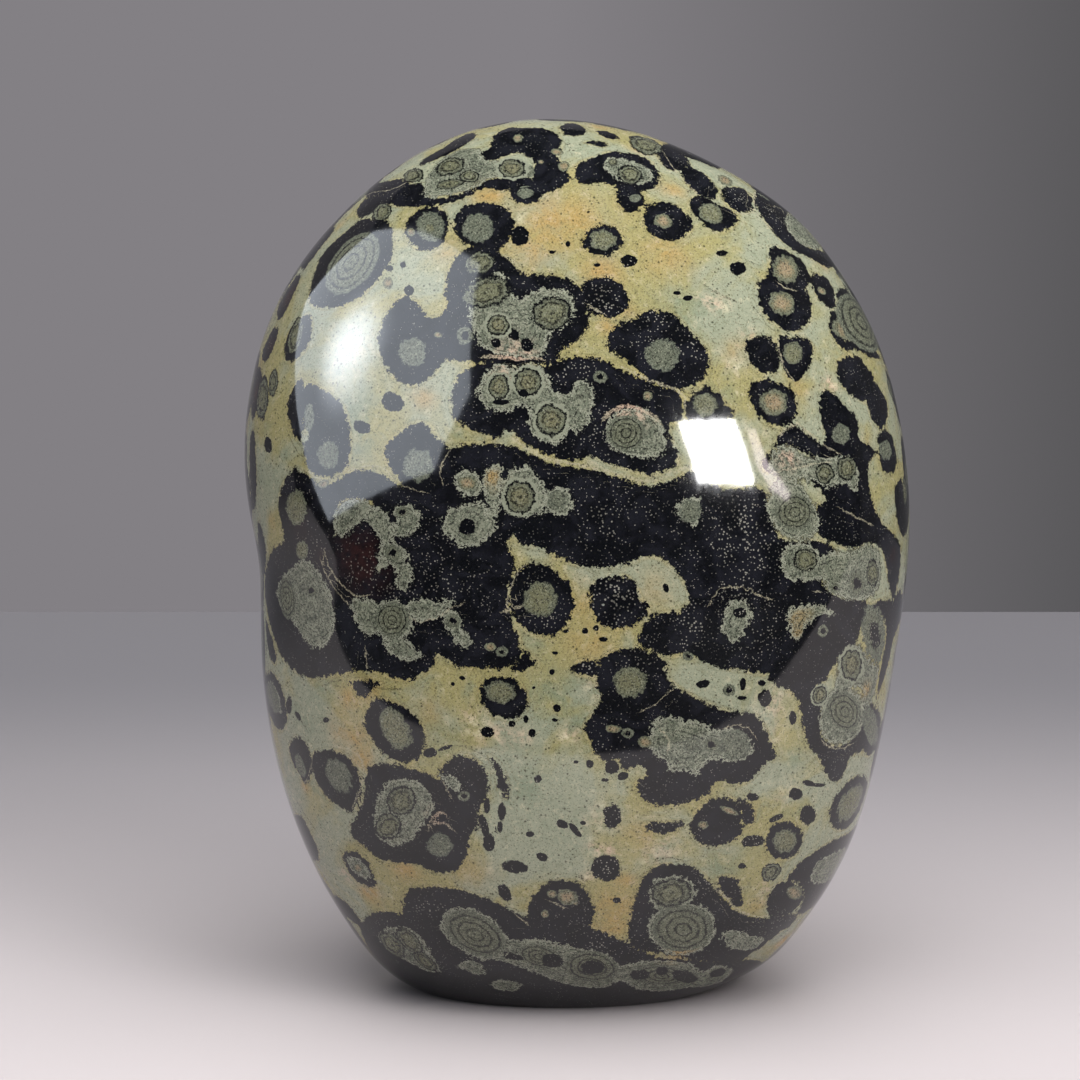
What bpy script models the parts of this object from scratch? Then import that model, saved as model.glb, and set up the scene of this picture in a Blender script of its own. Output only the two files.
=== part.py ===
# A kambaba jasper freeform: one polished stone, rounded all over, that stands on a small ground spot.
# Metres, +Z up. The origin is in the middle of the stone's box, on the surface that it rests on.

import bpy
import bmesh
import numpy as np

NAME = "freeform_stone"
COLLECTION = "kambaba_jasper_freeform"

CROWN = 0.1997          # height of the stone above the surface
GROUND_OFF = 0.0060     # how much of the round form was ground away to make the resting spot
CUBE_CUTS = 25          # cuts along each edge of the cube that the form is rounded from
SQUARENESS = 2.22       # power of the sections' outline: 2 is an ellipse, more is squarer
EDGE_WIDTH = 0.0009     # softened edge round the resting spot

# The stone's edges at rising heights: height, left, right, front, back
SECTIONS = (
    (0.000, -0.0385, 0.0320, -0.0205, 0.0200),
    (0.006, -0.0465, 0.0440, -0.0270, 0.0260),
    (0.014, -0.0523, 0.0515, -0.0348, 0.0332),
    (0.024, -0.0581, 0.0580, -0.0404, 0.0384),
    (0.036, -0.0635, 0.0637, -0.0449, 0.0428),
    (0.050, -0.0680, 0.0678, -0.0486, 0.0465),
    (0.064, -0.0708, 0.0706, -0.0510, 0.0494),
    (0.078, -0.0721, 0.0727, -0.0523, 0.0514),
    (0.090, -0.0722, 0.0743, -0.0527, 0.0525),
    (0.101, -0.0726, 0.0753, -0.0525, 0.0529),
    (0.112, -0.0745, 0.0755, -0.0518, 0.0529),
    (0.125, -0.0755, 0.0743, -0.0500, 0.0519),
    (0.140, -0.0739, 0.0712, -0.0464, 0.0493),
    (0.155, -0.0694, 0.0655, -0.0411, 0.0449),
    (0.168, -0.0620, 0.0575, -0.0349, 0.0393),
    (0.180, -0.0515, 0.0464, -0.0274, 0.0325),
    (0.189, -0.0406, 0.0322, -0.0200, 0.0254),
    (0.196, -0.0272, 0.0158, -0.0116, 0.0168),
)

# Low swells and hollows of the hand-ground form: direction from the middle, spread in radians, height
SWELLS = (
    ((-0.55, 0.75, 0.40), 0.50, 0.0016),
    ((0.45, 0.85, -0.35), 0.45, -0.0017),
    ((0.80, 0.45, 0.45), 0.40, 0.0012),
    ((-0.75, 0.60, -0.35), 0.38, -0.0012),
    ((0.25, -0.95, 0.25), 0.45, -0.0008),
    ((-0.35, -0.85, -0.40), 0.45, 0.0010),
)

BASE_COLOUR = (0.235, 0.265, 0.180, 1.0)
ROUGHNESS = 0.09
REFRACTIVE_INDEX = 1.54


def clear_scene():
    for thing in list(bpy.data.objects):
        bpy.data.objects.remove(thing, do_unlink=True)


def smooth_curve(knots, values, at):
    """A natural cubic spline through the knots, read at the given places."""
    gaps = np.diff(knots)
    slopes = np.diff(values) / gaps
    count = len(knots)
    system = np.eye(count)
    wanted = np.zeros(count)
    for i in range(1, count - 1):
        system[i, i - 1 : i + 2] = gaps[i - 1], 2 * (gaps[i - 1] + gaps[i]), gaps[i]
        wanted[i] = 6 * (slopes[i] - slopes[i - 1])
    bend = np.linalg.solve(system, wanted)
    i = np.clip(np.searchsorted(knots, at) - 1, 0, count - 2)
    along = at - knots[i]
    start = slopes[i] - gaps[i] * (2 * bend[i] + bend[i + 1]) / 6
    cubic = (bend[i + 1] - bend[i]) / (6 * gaps[i])
    return values[i] + along * (start + along * (bend[i] / 2 + along * cubic))


def stone_point(direction):
    """Moves points of the unit sphere, one a row, out to the stone's surface."""
    middle = (CROWN - GROUND_OFF) / 2
    half = (CROWN + GROUND_OFF) / 2
    height = middle + half * direction[:, 2]
    table = np.array(SECTIONS)
    knots = table[:, 0]
    roundness = np.sqrt(1 - ((knots - middle) / half) ** 2)
    half_width = smooth_curve(knots, (table[:, 2] - table[:, 1]) / 2 / roundness, height)
    half_depth = smooth_curve(knots, (table[:, 4] - table[:, 3]) / 2 / roundness, height)
    centre_x = smooth_curve(knots, (table[:, 2] + table[:, 1]) / 2, height)
    centre_y = smooth_curve(knots, (table[:, 4] + table[:, 3]) / 2, height)

    level = np.maximum(np.hypot(direction[:, 0], direction[:, 1]), 1e-9)
    across, deep = abs(direction[:, 0]) / level, abs(direction[:, 1]) / level
    power = 2 + (SQUARENESS - 2) * level**2
    fullness = np.maximum(across**power + deep**power, 0.5) ** (-1 / power)

    swell = np.zeros(len(direction))
    for towards, spread, rise in SWELLS:
        towards = np.array(towards) / np.linalg.norm(towards)
        angle = np.arccos(np.clip(direction @ towards, -1, 1))
        swell += rise * np.exp(-((angle / spread) ** 2))

    x = centre_x + direction[:, 0] * (half_width * fullness + swell)
    y = centre_y + direction[:, 1] * (half_depth * fullness + swell)
    return np.column_stack((x, y, height))


def round_form():
    """A cube cut into even squares, rounded to a sphere and moved out to the stone's sections."""
    form = bmesh.new()
    bmesh.ops.create_cube(form, size=2)
    bmesh.ops.subdivide_edges(form, edges=form.edges[:], cuts=CUBE_CUTS, use_grid_fill=True)
    grid = np.tan(np.array([v.co for v in form.verts]) * np.pi / 4)
    direction = grid / np.linalg.norm(grid, axis=1)[:, None]
    for vert, place in zip(form.verts, stone_point(direction)):
        vert.co = place
    return form


def grind_resting_spot(form):
    """Cuts the form off at the surface and closes the cut with one flat face."""
    weight = form.edges.layers.float.new("bevel_weight_edge")
    cut = bmesh.ops.bisect_plane(
        form, geom=form.verts[:] + form.edges[:] + form.faces[:], dist=1e-6,
        plane_co=(0, 0, 0), plane_no=(0, 0, -1), clear_outer=True,
    )
    rim = [piece for piece in cut["geom_cut"] if isinstance(piece, bmesh.types.BMEdge)]
    for edge in rim:
        edge[weight] = 1.0
    bmesh.ops.holes_fill(form, edges=rim)
    bmesh.ops.recalc_face_normals(form, faces=form.faces[:])


def stone_material():
    material = bpy.data.materials.new("polished_stone")
    material.use_nodes = True
    shader = material.node_tree.nodes["Principled BSDF"]
    shader.inputs["Base Color"].default_value = BASE_COLOUR
    shader.inputs["Roughness"].default_value = ROUGHNESS
    shader.inputs["Metallic"].default_value = 0.0
    shader.inputs["IOR"].default_value = REFRACTIVE_INDEX
    return material


def make_stone():
    form = round_form()
    grind_resting_spot(form)
    mesh = bpy.data.meshes.new(NAME)
    form.to_mesh(mesh)
    form.free()
    mesh.shade_smooth()
    mesh.materials.append(stone_material())
    stone = bpy.data.objects.new(NAME, mesh)
    edge = stone.modifiers.new("softened edge", "BEVEL")
    edge.width = EDGE_WIDTH
    edge.segments = 2
    edge.limit_method = "WEIGHT"
    return stone


def main():
    clear_scene()
    collection = bpy.data.collections.new(COLLECTION)
    bpy.context.scene.collection.children.link(collection)
    collection.objects.link(make_stone())


main()
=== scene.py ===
import math

import bpy
import numpy as np
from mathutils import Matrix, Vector
from mathutils.bvhtree import BVHTree
from mathutils.interpolate import poly_3d_calc


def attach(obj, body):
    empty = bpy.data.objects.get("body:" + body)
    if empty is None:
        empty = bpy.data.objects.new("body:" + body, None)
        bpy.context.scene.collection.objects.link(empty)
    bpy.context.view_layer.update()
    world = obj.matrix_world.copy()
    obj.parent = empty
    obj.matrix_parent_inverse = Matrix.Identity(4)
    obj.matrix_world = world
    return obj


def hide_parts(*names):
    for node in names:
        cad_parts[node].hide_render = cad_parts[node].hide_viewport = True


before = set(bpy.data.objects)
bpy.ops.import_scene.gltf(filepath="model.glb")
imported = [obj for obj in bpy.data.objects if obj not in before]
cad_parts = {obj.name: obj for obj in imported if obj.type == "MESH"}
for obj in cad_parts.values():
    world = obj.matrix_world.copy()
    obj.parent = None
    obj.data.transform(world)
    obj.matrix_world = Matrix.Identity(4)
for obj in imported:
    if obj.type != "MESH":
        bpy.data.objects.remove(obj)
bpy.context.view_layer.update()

# The stone's own form, in metres, as in the solid that it stands for
stone = {
    "crown": 0.1997,          # height above the surface it rests on
    "groundOff": 0.0060,      # ground away underneath for the resting spot
    "squareness": 2.22,       # power of the sections' outline, 2 is an ellipse
    "cells": (122, 84, 176),  # squares along the cube's x, y and z edges
    "edgeWidth": 0.0009,      # softened edge round the resting spot
    # height, left, right, front, back
    "sections": (
        (0.000, -0.0385, 0.0320, -0.0205, 0.0200),
        (0.006, -0.0465, 0.0440, -0.0270, 0.0260),
        (0.014, -0.0523, 0.0515, -0.0348, 0.0332),
        (0.024, -0.0581, 0.0580, -0.0404, 0.0384),
        (0.036, -0.0635, 0.0637, -0.0449, 0.0428),
        (0.050, -0.0680, 0.0678, -0.0486, 0.0465),
        (0.064, -0.0708, 0.0706, -0.0510, 0.0494),
        (0.078, -0.0721, 0.0727, -0.0523, 0.0514),
        (0.090, -0.0722, 0.0743, -0.0527, 0.0525),
        (0.101, -0.0726, 0.0753, -0.0525, 0.0529),
        (0.112, -0.0745, 0.0755, -0.0518, 0.0529),
        (0.125, -0.0755, 0.0743, -0.0500, 0.0519),
        (0.140, -0.0739, 0.0712, -0.0464, 0.0493),
        (0.155, -0.0694, 0.0655, -0.0411, 0.0449),
        (0.168, -0.0620, 0.0575, -0.0349, 0.0393),
        (0.180, -0.0515, 0.0464, -0.0274, 0.0325),
        (0.189, -0.0406, 0.0322, -0.0200, 0.0254),
        (0.196, -0.0272, 0.0158, -0.0116, 0.0168),
    ),
    # direction from the middle, spread in radians, height of the swell
    "swells": (
        ((-0.55, 0.75, 0.40), 0.50, 0.0016),
        ((0.45, 0.85, -0.35), 0.45, -0.0017),
        ((0.80, 0.45, 0.45), 0.40, 0.0012),
        ((-0.75, 0.60, -0.35), 0.38, -0.0012),
        ((0.25, -0.95, 0.25), 0.45, -0.0008),
        ((-0.35, -0.85, -0.40), 0.45, 0.0010),
    ),
}


def smoothCurve(knots, values, at):
    gaps = np.diff(knots)
    slopes = np.diff(values) / gaps
    count = len(knots)
    system = np.eye(count)
    wanted = np.zeros(count)
    for i in range(1, count - 1):
        system[i, i - 1:i + 2] = gaps[i - 1], 2 * (gaps[i - 1] + gaps[i]), gaps[i]
        wanted[i] = 6 * (slopes[i] - slopes[i - 1])
    bend = np.linalg.solve(system, wanted)
    i = np.clip(np.searchsorted(knots, at) - 1, 0, count - 2)
    along = at - knots[i]
    start = slopes[i] - gaps[i] * (2 * bend[i] + bend[i + 1]) / 6
    cubic = (bend[i + 1] - bend[i]) / (6 * gaps[i])
    return values[i] + along * (start + along * (bend[i] / 2 + along * cubic))


def stonePoint(direction):
    # rows of unit vectors in, points on the stone out
    middle = (stone["crown"] - stone["groundOff"]) / 2
    half = (stone["crown"] + stone["groundOff"]) / 2
    height = middle + half * direction[:, 2]
    table = np.array(stone["sections"])
    knots = table[:, 0]
    roundness = np.sqrt(1 - ((knots - middle) / half) ** 2)
    halfWidth = smoothCurve(knots, (table[:, 2] - table[:, 1]) / 2 / roundness, height)
    halfDepth = smoothCurve(knots, (table[:, 4] - table[:, 3]) / 2 / roundness, height)
    centreX = smoothCurve(knots, (table[:, 2] + table[:, 1]) / 2, height)
    centreY = smoothCurve(knots, (table[:, 4] + table[:, 3]) / 2, height)
    level = np.maximum(np.hypot(direction[:, 0], direction[:, 1]), 1e-9)
    across, deep = abs(direction[:, 0]) / level, abs(direction[:, 1]) / level
    power = 2 + (stone["squareness"] - 2) * level**2
    fullness = np.maximum(across**power + deep**power, 0.5) ** (-1 / power)
    swell = np.zeros(len(direction))
    for towards, spread, rise in stone["swells"]:
        towards = np.array(towards) / np.linalg.norm(towards)
        angle = np.arccos(np.clip(direction @ towards, -1, 1))
        swell += rise * np.exp(-((angle / spread) ** 2))
    x = centreX + direction[:, 0] * (halfWidth * fullness + swell)
    y = centreY + direction[:, 1] * (halfDepth * fullness + swell)
    return np.column_stack((x, y, height))


def selectNothing():
    bpy.ops.object.select_all(action="DESELECT")


def cutAlong(axis, cells):
    # cuts every edge that runs along one axis of the cube, in steps of at most 100 cuts
    while cells > 1:
        step = next(n for n in range(min(cells, 96), 1, -1) if cells % n == 0)
        bpy.ops.object.mode_set(mode="OBJECT")
        mesh = bpy.context.object.data
        for edge in mesh.edges:
            a, b = (mesh.vertices[v].co for v in edge.vertices)
            edge.select = abs((a - b).normalized()[axis]) > 0.9
        bpy.ops.object.mode_set(mode="EDIT")
        bpy.ops.mesh.subdivide(number_cuts=step - 1)
        bpy.ops.mesh.select_all(action="DESELECT")
        cells //= step


def makeStone():
    selectNothing()
    bpy.ops.mesh.primitive_cube_add(size=2, location=(0, 0, 0))
    piece = bpy.context.object
    piece.name = piece.data.name = "polishedFreeform"
    bpy.ops.object.mode_set(mode="EDIT")
    bpy.ops.mesh.select_mode(type="EDGE")
    bpy.ops.mesh.select_all(action="DESELECT")
    for axis in range(3):
        cutAlong(axis, stone["cells"][axis])
    bpy.ops.object.mode_set(mode="OBJECT")

    # the cube's squares are rounded to a ball and moved out to the stone's sections
    cube = np.array([v.co for v in piece.data.vertices])
    direction = np.tan(cube * math.pi / 4)
    direction /= np.linalg.norm(direction, axis=1)[:, None]
    piece.data.vertices.foreach_set("co", stonePoint(direction).ravel())
    storeVector(piece.data, "towards", direction)

    # the resting spot is ground flat and its rim softened
    bpy.ops.object.mode_set(mode="EDIT")
    bpy.ops.mesh.select_all(action="SELECT")
    bpy.ops.mesh.bisect(plane_co=(0, 0, 0), plane_no=(0, 0, 1), use_fill=True, clear_inner=True)
    bpy.ops.mesh.bevel(offset=stone["edgeWidth"], segments=2, affect="EDGES", clamp_overlap=True)
    bpy.ops.mesh.select_all(action="SELECT")
    bpy.ops.mesh.normals_make_consistent(inside=False)
    bpy.ops.object.mode_set(mode="OBJECT")
    bpy.ops.object.shade_smooth()
    print("stone modelled:", len(piece.data.vertices), "points")
    return piece


def storeNumber(mesh, name, values):
    layer = mesh.attributes.get(name) or mesh.attributes.new(name, "FLOAT", "POINT")
    layer.data.foreach_set("value", np.asarray(values, np.float32).ravel())


def storeVector(mesh, name, values):
    layer = mesh.attributes.get(name) or mesh.attributes.new(name, "FLOAT_VECTOR", "POINT")
    layer.data.foreach_set("vector", np.asarray(values, np.float32).ravel())


def storeColour(mesh, name, values):
    layer = mesh.attributes.get(name) or mesh.attributes.new(name, "FLOAT_COLOR", "POINT")
    layer.data.foreach_set("color", np.asarray(values, np.float32).ravel())


# Camera, set at the photograph's angle. The frame is 1080 by 1080.
shot = {
    "frame": 1080,
    "focal": 2620,                 # in frame pixels
    "aim": (-0.0084, 0, 0.1044),
    "distance": 0.6,
    "pitch": math.radians(8),
    "pixelsPerMm": 4.37,           # at the stone's middle
}
sight = np.array((0, math.cos(shot["pitch"]), -math.sin(shot["pitch"])))
upward = np.array((0, math.sin(shot["pitch"]), math.cos(shot["pitch"])))
eyePlace = np.array(shot["aim"]) - sight * shot["distance"]


def setCamera():
    data = bpy.data.cameras.new("camera")
    data.sensor_width = 36
    data.lens = 36 * shot["focal"] / shot["frame"]
    data.clip_start, data.clip_end = 0.01, 20
    camera = bpy.data.objects.new("camera", data)
    camera.location = eyePlace
    camera.rotation_euler = (math.pi / 2 - shot["pitch"], 0, 0)
    bpy.context.scene.collection.objects.link(camera)
    bpy.context.scene.camera = camera


# The markings are drawn where the photograph shows them, in its pixels, and cast on to the stone.
# Closed outlines of the dark masses, each a ring of given points
darkOutlines = {
    "bigEyeLeft": [(390, 225), (378, 219), (362, 220), (345, 232), (330, 246), (320, 258), (314, 275),
        (310, 292), (312, 305), (330, 308), (350, 303), (372, 286), (388, 264), (393, 243)],
    "shoulderLobe": [(357, 217), (359, 206), (367, 199), (380, 197), (386, 200), (378, 210), (367, 215)],
    "shoulderBand": [(364, 195), (374, 185), (388, 181), (400, 179), (412, 184), (424, 184), (429, 196),
        (446, 197), (463, 192), (479, 185), (488, 179), (505, 178), (522, 177), (536, 180), (548, 190),
        (540, 194), (520, 188), (500, 191), (486, 188), (470, 195), (450, 203), (428, 206), (405, 207),
        (388, 204)],
    "shoulderRim": [(452, 142), (464, 135), (474, 133), (476, 137), (462, 147), (448, 154), (432, 161),
        (418, 167), (426, 158), (440, 150)],
    "crownMass": [(491, 143), (496, 134), (508, 128), (524, 128), (541, 128), (555, 133), (562, 142),
        (560, 150), (558, 158), (566, 170), (571, 180), (561, 187), (548, 193), (538, 186), (531, 176),
        (536, 166), (530, 158), (519, 153), (506, 156), (494, 160), (480, 161), (479, 153), (489, 150)],
    "crownEyeMass": [(575, 167), (585, 160), (597, 156), (607, 152), (628, 153), (646, 158), (656, 168),
        (660, 180), (653, 189), (641, 192), (646, 200), (640, 208), (628, 212), (620, 206), (616, 196),
        (617, 188), (604, 183), (588, 184), (577, 180)],
    "crownSpecks": [(560, 127), (570, 123), (582, 126), (586, 133), (575, 136), (565, 134)],
    "crownDash": [(596, 131), (606, 131), (618, 136), (617, 140), (606, 138)],
    "crownDashB": [(583, 142), (596, 141), (609, 144), (604, 147), (592, 145)],
    "rightEyeA": [(642, 218), (648, 207), (660, 202), (673, 204), (685, 212), (692, 224), (688, 234),
        (676, 240), (660, 239), (648, 231)],
    "rightEyeB": [(689, 204), (695, 197), (706, 198), (714, 203), (729, 209), (738, 219), (732, 227),
        (720, 232), (708, 228), (696, 217)],
    "rightLobeA": [(681, 171), (688, 166), (698, 170), (708, 177), (717, 189), (716, 199), (704, 197),
        (692, 189), (684, 180)],
    "rightLobeB": [(657, 153), (663, 145), (673, 144), (681, 150), (687, 158), (690, 166), (681, 171),
        (668, 169), (660, 161)],
    "rightRim": [(678, 147), (690, 147), (707, 155), (722, 166), (715, 168), (699, 161), (684, 156)],
    "rightSpeckled": [(721, 190), (732, 187), (744, 189), (752, 199), (752, 210), (741, 212), (728, 205)],
    "rightShoulder": [(756, 189), (764, 193), (777, 200), (787, 211), (788, 222), (793, 235), (806, 246),
        (818, 250), (828, 254), (836, 264), (828, 268), (812, 259), (795, 251), (782, 241), (770, 228),
        (760, 214), (755, 202)],
    "rightPair": [(769, 250), (775, 246), (785, 250), (798, 257), (807, 269), (811, 281), (806, 290),
        (812, 303), (810, 318), (802, 329), (790, 331), (776, 325), (764, 314), (757, 298), (759, 283),
        (769, 271)],
    "rightLobeC": [(811, 278), (818, 274), (828, 280), (834, 292), (835, 307), (828, 307), (818, 298)],
    "rightEdgeEye": [(830, 312), (838, 311), (836, 322), (839, 335), (849, 341), (858, 339), (868, 345),
        (881, 358), (872, 358), (858, 350), (846, 350), (836, 342), (830, 328)],
    "rightEdgeTop": [(836, 292), (846, 288), (856, 300), (848, 302), (838, 300)],
    "rightEyeC": [(779, 336), (790, 337), (804, 338), (813, 346), (811, 361), (806, 374), (798, 380),
        (788, 378), (782, 364), (779, 350)],
    "rightBlob": [(745, 349), (751, 338), (762, 335), (772, 340), (778, 352), (780, 365), (774, 373),
        (760, 372), (750, 362)],
    "rightMass": [(837, 363), (848, 356), (860, 358), (867, 368), (873, 375), (871, 390), (867, 402),
        (856, 399), (846, 390), (839, 380)],
    "rightSlit": [(867, 386), (874, 381), (882, 392), (888, 408), (886, 424), (880, 428), (872, 420),
        (868, 405)],
    "rightEyeD": [(877, 437), (884, 430), (891, 435), (895, 448), (897, 462), (893, 473), (885, 472),
        (880, 462), (879, 448)],
    "rightPlain": [(820, 396), (830, 391), (842, 402), (856, 418), (860, 440), (867, 445), (877, 452),
        (869, 462), (868, 478), (872, 500), (880, 520), (890, 530), (900, 545), (899, 575), (893, 600),
        (889, 585), (885, 560), (880, 548), (868, 543), (856, 548), (846, 548), (835, 542), (826, 540),
        (815, 531), (811, 520), (818, 506), (826, 500), (822, 492), (812, 484), (803, 475), (808, 462),
        (815, 452), (822, 444), (826, 436), (821, 422)],
    "rightEyeE": [(749, 386), (758, 380), (775, 381), (790, 388), (797, 402), (795, 418), (782, 426),
        (768, 424), (757, 414), (750, 400)],
    "rightBelowE": [(770, 452), (778, 437), (787, 428), (796, 425), (806, 433), (817, 440), (822, 447),
        (815, 455), (802, 452), (790, 446), (780, 448), (772, 460), (766, 472), (762, 462)],
    "edgeSlit": [(895, 487), (901, 479), (905, 495), (909, 510), (907, 530), (902, 536), (897, 520),
        (895, 503)],
    "leftSlit": [(288, 401), (294, 386), (302, 380), (306, 398), (304, 420), (301, 441), (295, 436),
        (289, 420)],
    "leftLong": [(303, 388), (313, 384), (328, 393), (341, 404), (348, 422), (350, 445), (347, 465),
        (336, 474), (322, 477), (308, 467), (304, 450), (308, 436), (305, 415)],
    "leftBelow": [(299, 472), (312, 478), (325, 486), (345, 475), (370, 470), (388, 478), (402, 486),
        (430, 489), (436, 498), (415, 500), (395, 506), (378, 508), (370, 502), (345, 500), (337, 512),
        (334, 536), (322, 534), (312, 515), (305, 498)],
    "leftEye": [(285, 345), (290, 330), (300, 320), (308, 314), (312, 325), (308, 345), (300, 356),
        (290, 362), (285, 358)],
    "middleTop": [(380, 330), (388, 312), (400, 298), (412, 297), (424, 314), (438, 318), (446, 306),
        (446, 285), (450, 265), (462, 252), (480, 248), (498, 251), (512, 262), (524, 274), (545, 275),
        (565, 278), (582, 290), (588, 308), (588, 325), (578, 340), (562, 350), (556, 361), (540, 364),
        (500, 365), (480, 362), (462, 363), (448, 360), (440, 367), (426, 380), (412, 386), (396, 379),
        (384, 362), (378, 345)],
    "middleBall": [(580, 295), (584, 282), (598, 277), (612, 278), (624, 288), (629, 302), (621, 314),
        (608, 319), (596, 314), (585, 306)],
    "leftRound": [(404, 232), (408, 220), (418, 211), (432, 208), (445, 212), (448, 226), (446, 240),
        (436, 248), (424, 250), (410, 243)],
    "leftRoundB": [(455, 218), (462, 208), (475, 203), (492, 203), (506, 208), (514, 220), (511, 236),
        (502, 246), (488, 249), (470, 246), (458, 238), (453, 228)],
    "middleRight": [(607, 339), (615, 327), (630, 320), (645, 312), (660, 311), (676, 316), (690, 332),
        (704, 345), (709, 360), (706, 376), (695, 384), (680, 390), (665, 387), (648, 380), (636, 370),
        (622, 358), (610, 350)],
    "middleBand": [(462, 373), (480, 364), (510, 366), (545, 366), (562, 360), (590, 357), (608, 362),
        (622, 370), (640, 378), (660, 386), (678, 392), (684, 405), (681, 420), (669, 424), (671, 440),
        (679, 455), (671, 468), (650, 475), (630, 470), (610, 464), (590, 455), (582, 461), (560, 459),
        (540, 452), (520, 440), (508, 430), (497, 437), (480, 433), (462, 425), (452, 410), (452, 392)],
    "glintEye": [(687, 400), (696, 391), (708, 387), (719, 394), (726, 404), (733, 410), (728, 420),
        (708, 424), (692, 421), (684, 412)],
    "greatMass": [(384, 456), (393, 438), (410, 425), (427, 424), (438, 438), (450, 448), (465, 444),
        (490, 444), (515, 447), (535, 456), (555, 464), (580, 468), (600, 472), (625, 479), (650, 485),
        (676, 479), (692, 471), (705, 482), (730, 489), (755, 486), (767, 498), (773, 520), (780, 537),
        (790, 540), (800, 542), (815, 541), (830, 545), (838, 560), (826, 575), (822, 583), (832, 593),
        (845, 598), (864, 600), (866, 609), (857, 624), (848, 642), (838, 660), (828, 676), (820, 684),
        (800, 692), (782, 688), (771, 676), (745, 671), (720, 667), (700, 660), (682, 654), (668, 656),
        (650, 650), (638, 643), (641, 630), (650, 618), (665, 612), (680, 612), (688, 600), (686, 585),
        (675, 570), (660, 558), (648, 556), (630, 562), (612, 567), (590, 567), (570, 562), (552, 555),
        (538, 547), (520, 545), (513, 536), (508, 548), (516, 562), (510, 580), (507, 602), (512, 622),
        (520, 640), (518, 660), (504, 668), (480, 668), (455, 666), (438, 654), (434, 664), (424, 673),
        (410, 679), (395, 679), (380, 673), (367, 671), (350, 672), (330, 676), (310, 678), (296, 672),
        (284, 660), (275, 640), (268, 615), (265, 590), (267, 565), (274, 548), (284, 541), (279, 510),
        (281, 490), (290, 472), (298, 468), (303, 482), (314, 505), (324, 520), (334, 536), (344, 520),
        (362, 506), (375, 503), (386, 496), (402, 486)],
    "yellowBall": [(508, 600), (512, 580), (522, 567), (535, 563), (552, 568), (566, 580), (574, 598),
        (572, 615), (562, 630), (548, 636), (532, 634), (518, 622), (510, 610)],
    "speckledHollow": [(592, 585), (605, 578), (622, 576), (636, 584), (640, 600), (650, 606), (641, 620),
        (625, 628), (606, 628), (594, 615), (589, 600)],
    "lowerMass": [(597, 668), (606, 655), (620, 650), (640, 649), (656, 655), (666, 666), (669, 681),
        (690, 695), (712, 706), (735, 712), (755, 715), (765, 728), (770, 742), (776, 755), (766, 764),
        (755, 775), (745, 783), (730, 783), (717, 782), (706, 795), (690, 802), (670, 806), (650, 804),
        (640, 795), (636, 784), (645, 775), (640, 765), (625, 770), (618, 760), (600, 760), (592, 745),
        (585, 728), (592, 715), (600, 700), (596, 685)],
    "lowerNub": [(571, 668), (580, 661), (592, 660), (600, 670), (596, 677), (584, 675), (576, 672)],
    "slateDrop": [(770, 676), (790, 655), (812, 644), (838, 640), (843, 646), (836, 660), (830, 672),
        (822, 681), (815, 690), (820, 700), (822, 715), (821, 730), (826, 742), (840, 746), (853, 739),
        (861, 726), (864, 737), (862, 750), (850, 757), (845, 770), (838, 782), (828, 777), (820, 760),
        (808, 745), (802, 722), (799, 703), (790, 691), (776, 686)],
    "edgeLong": [(842, 640), (853, 625), (862, 612), (870, 606), (882, 600), (893, 600), (900, 590),
        (903, 610), (893, 640), (888, 665), (880, 690), (876, 700), (880, 672), (886, 640), (884, 618),
        (872, 612), (862, 625), (855, 645), (847, 655), (840, 664), (836, 656)],
    "edgeLow": [(862, 708), (870, 703), (880, 715), (878, 740), (870, 755), (862, 748)],
    "slateBand": [(786, 881), (797, 866), (810, 855), (830, 842), (850, 832), (861, 820), (856, 845),
        (844, 870), (828, 893), (808, 910), (798, 914), (804, 895), (799, 882)],
    "lowBall": [(690, 832), (692, 818), (702, 806), (718, 798), (735, 800), (742, 812), (742, 828),
        (734, 840), (718, 846), (702, 844)],
    "lowBallTail": [(740, 798), (750, 803), (754, 815), (749, 826), (742, 820)],
    "lowShield": [(717, 880), (728, 876), (739, 882), (742, 895), (741, 909), (730, 901), (722, 892)],
    "lowSpecks": [(644, 824), (660, 823), (684, 822), (676, 830), (660, 834), (648, 831)],
    "lowDarkBall": [(766, 906), (770, 893), (780, 883), (791, 882), (801, 889), (803, 897), (797, 908),
        (785, 915), (772, 916)],
    "bellyMass": [(628, 936), (632, 910), (638, 890), (645, 876), (655, 867), (675, 864), (692, 867),
        (704, 876), (712, 885), (722, 898), (732, 908), (742, 914), (760, 918), (780, 916), (797, 914),
        (791, 925), (780, 932), (768, 942), (752, 953), (738, 962), (715, 962), (695, 959), (675, 955),
        (655, 952), (640, 950), (632, 945)],
    "footMass": [(361, 927), (370, 914), (388, 911), (402, 914), (404, 895), (415, 888), (440, 887),
        (465, 891), (490, 900), (512, 910), (524, 918), (528, 905), (540, 888), (556, 880), (575, 882),
        (588, 893), (594, 912), (591, 927), (605, 932), (622, 940), (640, 950), (660, 958), (690, 960),
        (715, 962), (742, 960), (762, 962), (750, 975), (725, 990), (690, 1006), (640, 1020), (580, 1026),
        (500, 1028), (440, 1018), (410, 995), (386, 972), (368, 947)],
    "cluster": [(363, 800), (365, 780), (370, 766), (388, 764), (405, 767), (425, 773), (440, 779),
        (441, 769), (449, 759), (463, 755), (478, 762), (487, 775), (488, 792), (480, 808), (478, 825),
        (470, 838), (467, 855), (458, 868), (445, 873), (430, 870), (415, 864), (395, 862), (378, 858),
        (368, 850), (358, 842), (350, 830), (357, 815)],
    "lowLeftEye": [(313, 755), (325, 750), (340, 752), (352, 762), (361, 780), (360, 798), (350, 811),
        (338, 806), (325, 795), (315, 778)],
    "lowLeftSlit": [(290, 746), (296, 736), (305, 742), (311, 760), (311, 775), (306, 784), (298, 772),
        (291, 758)],
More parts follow.
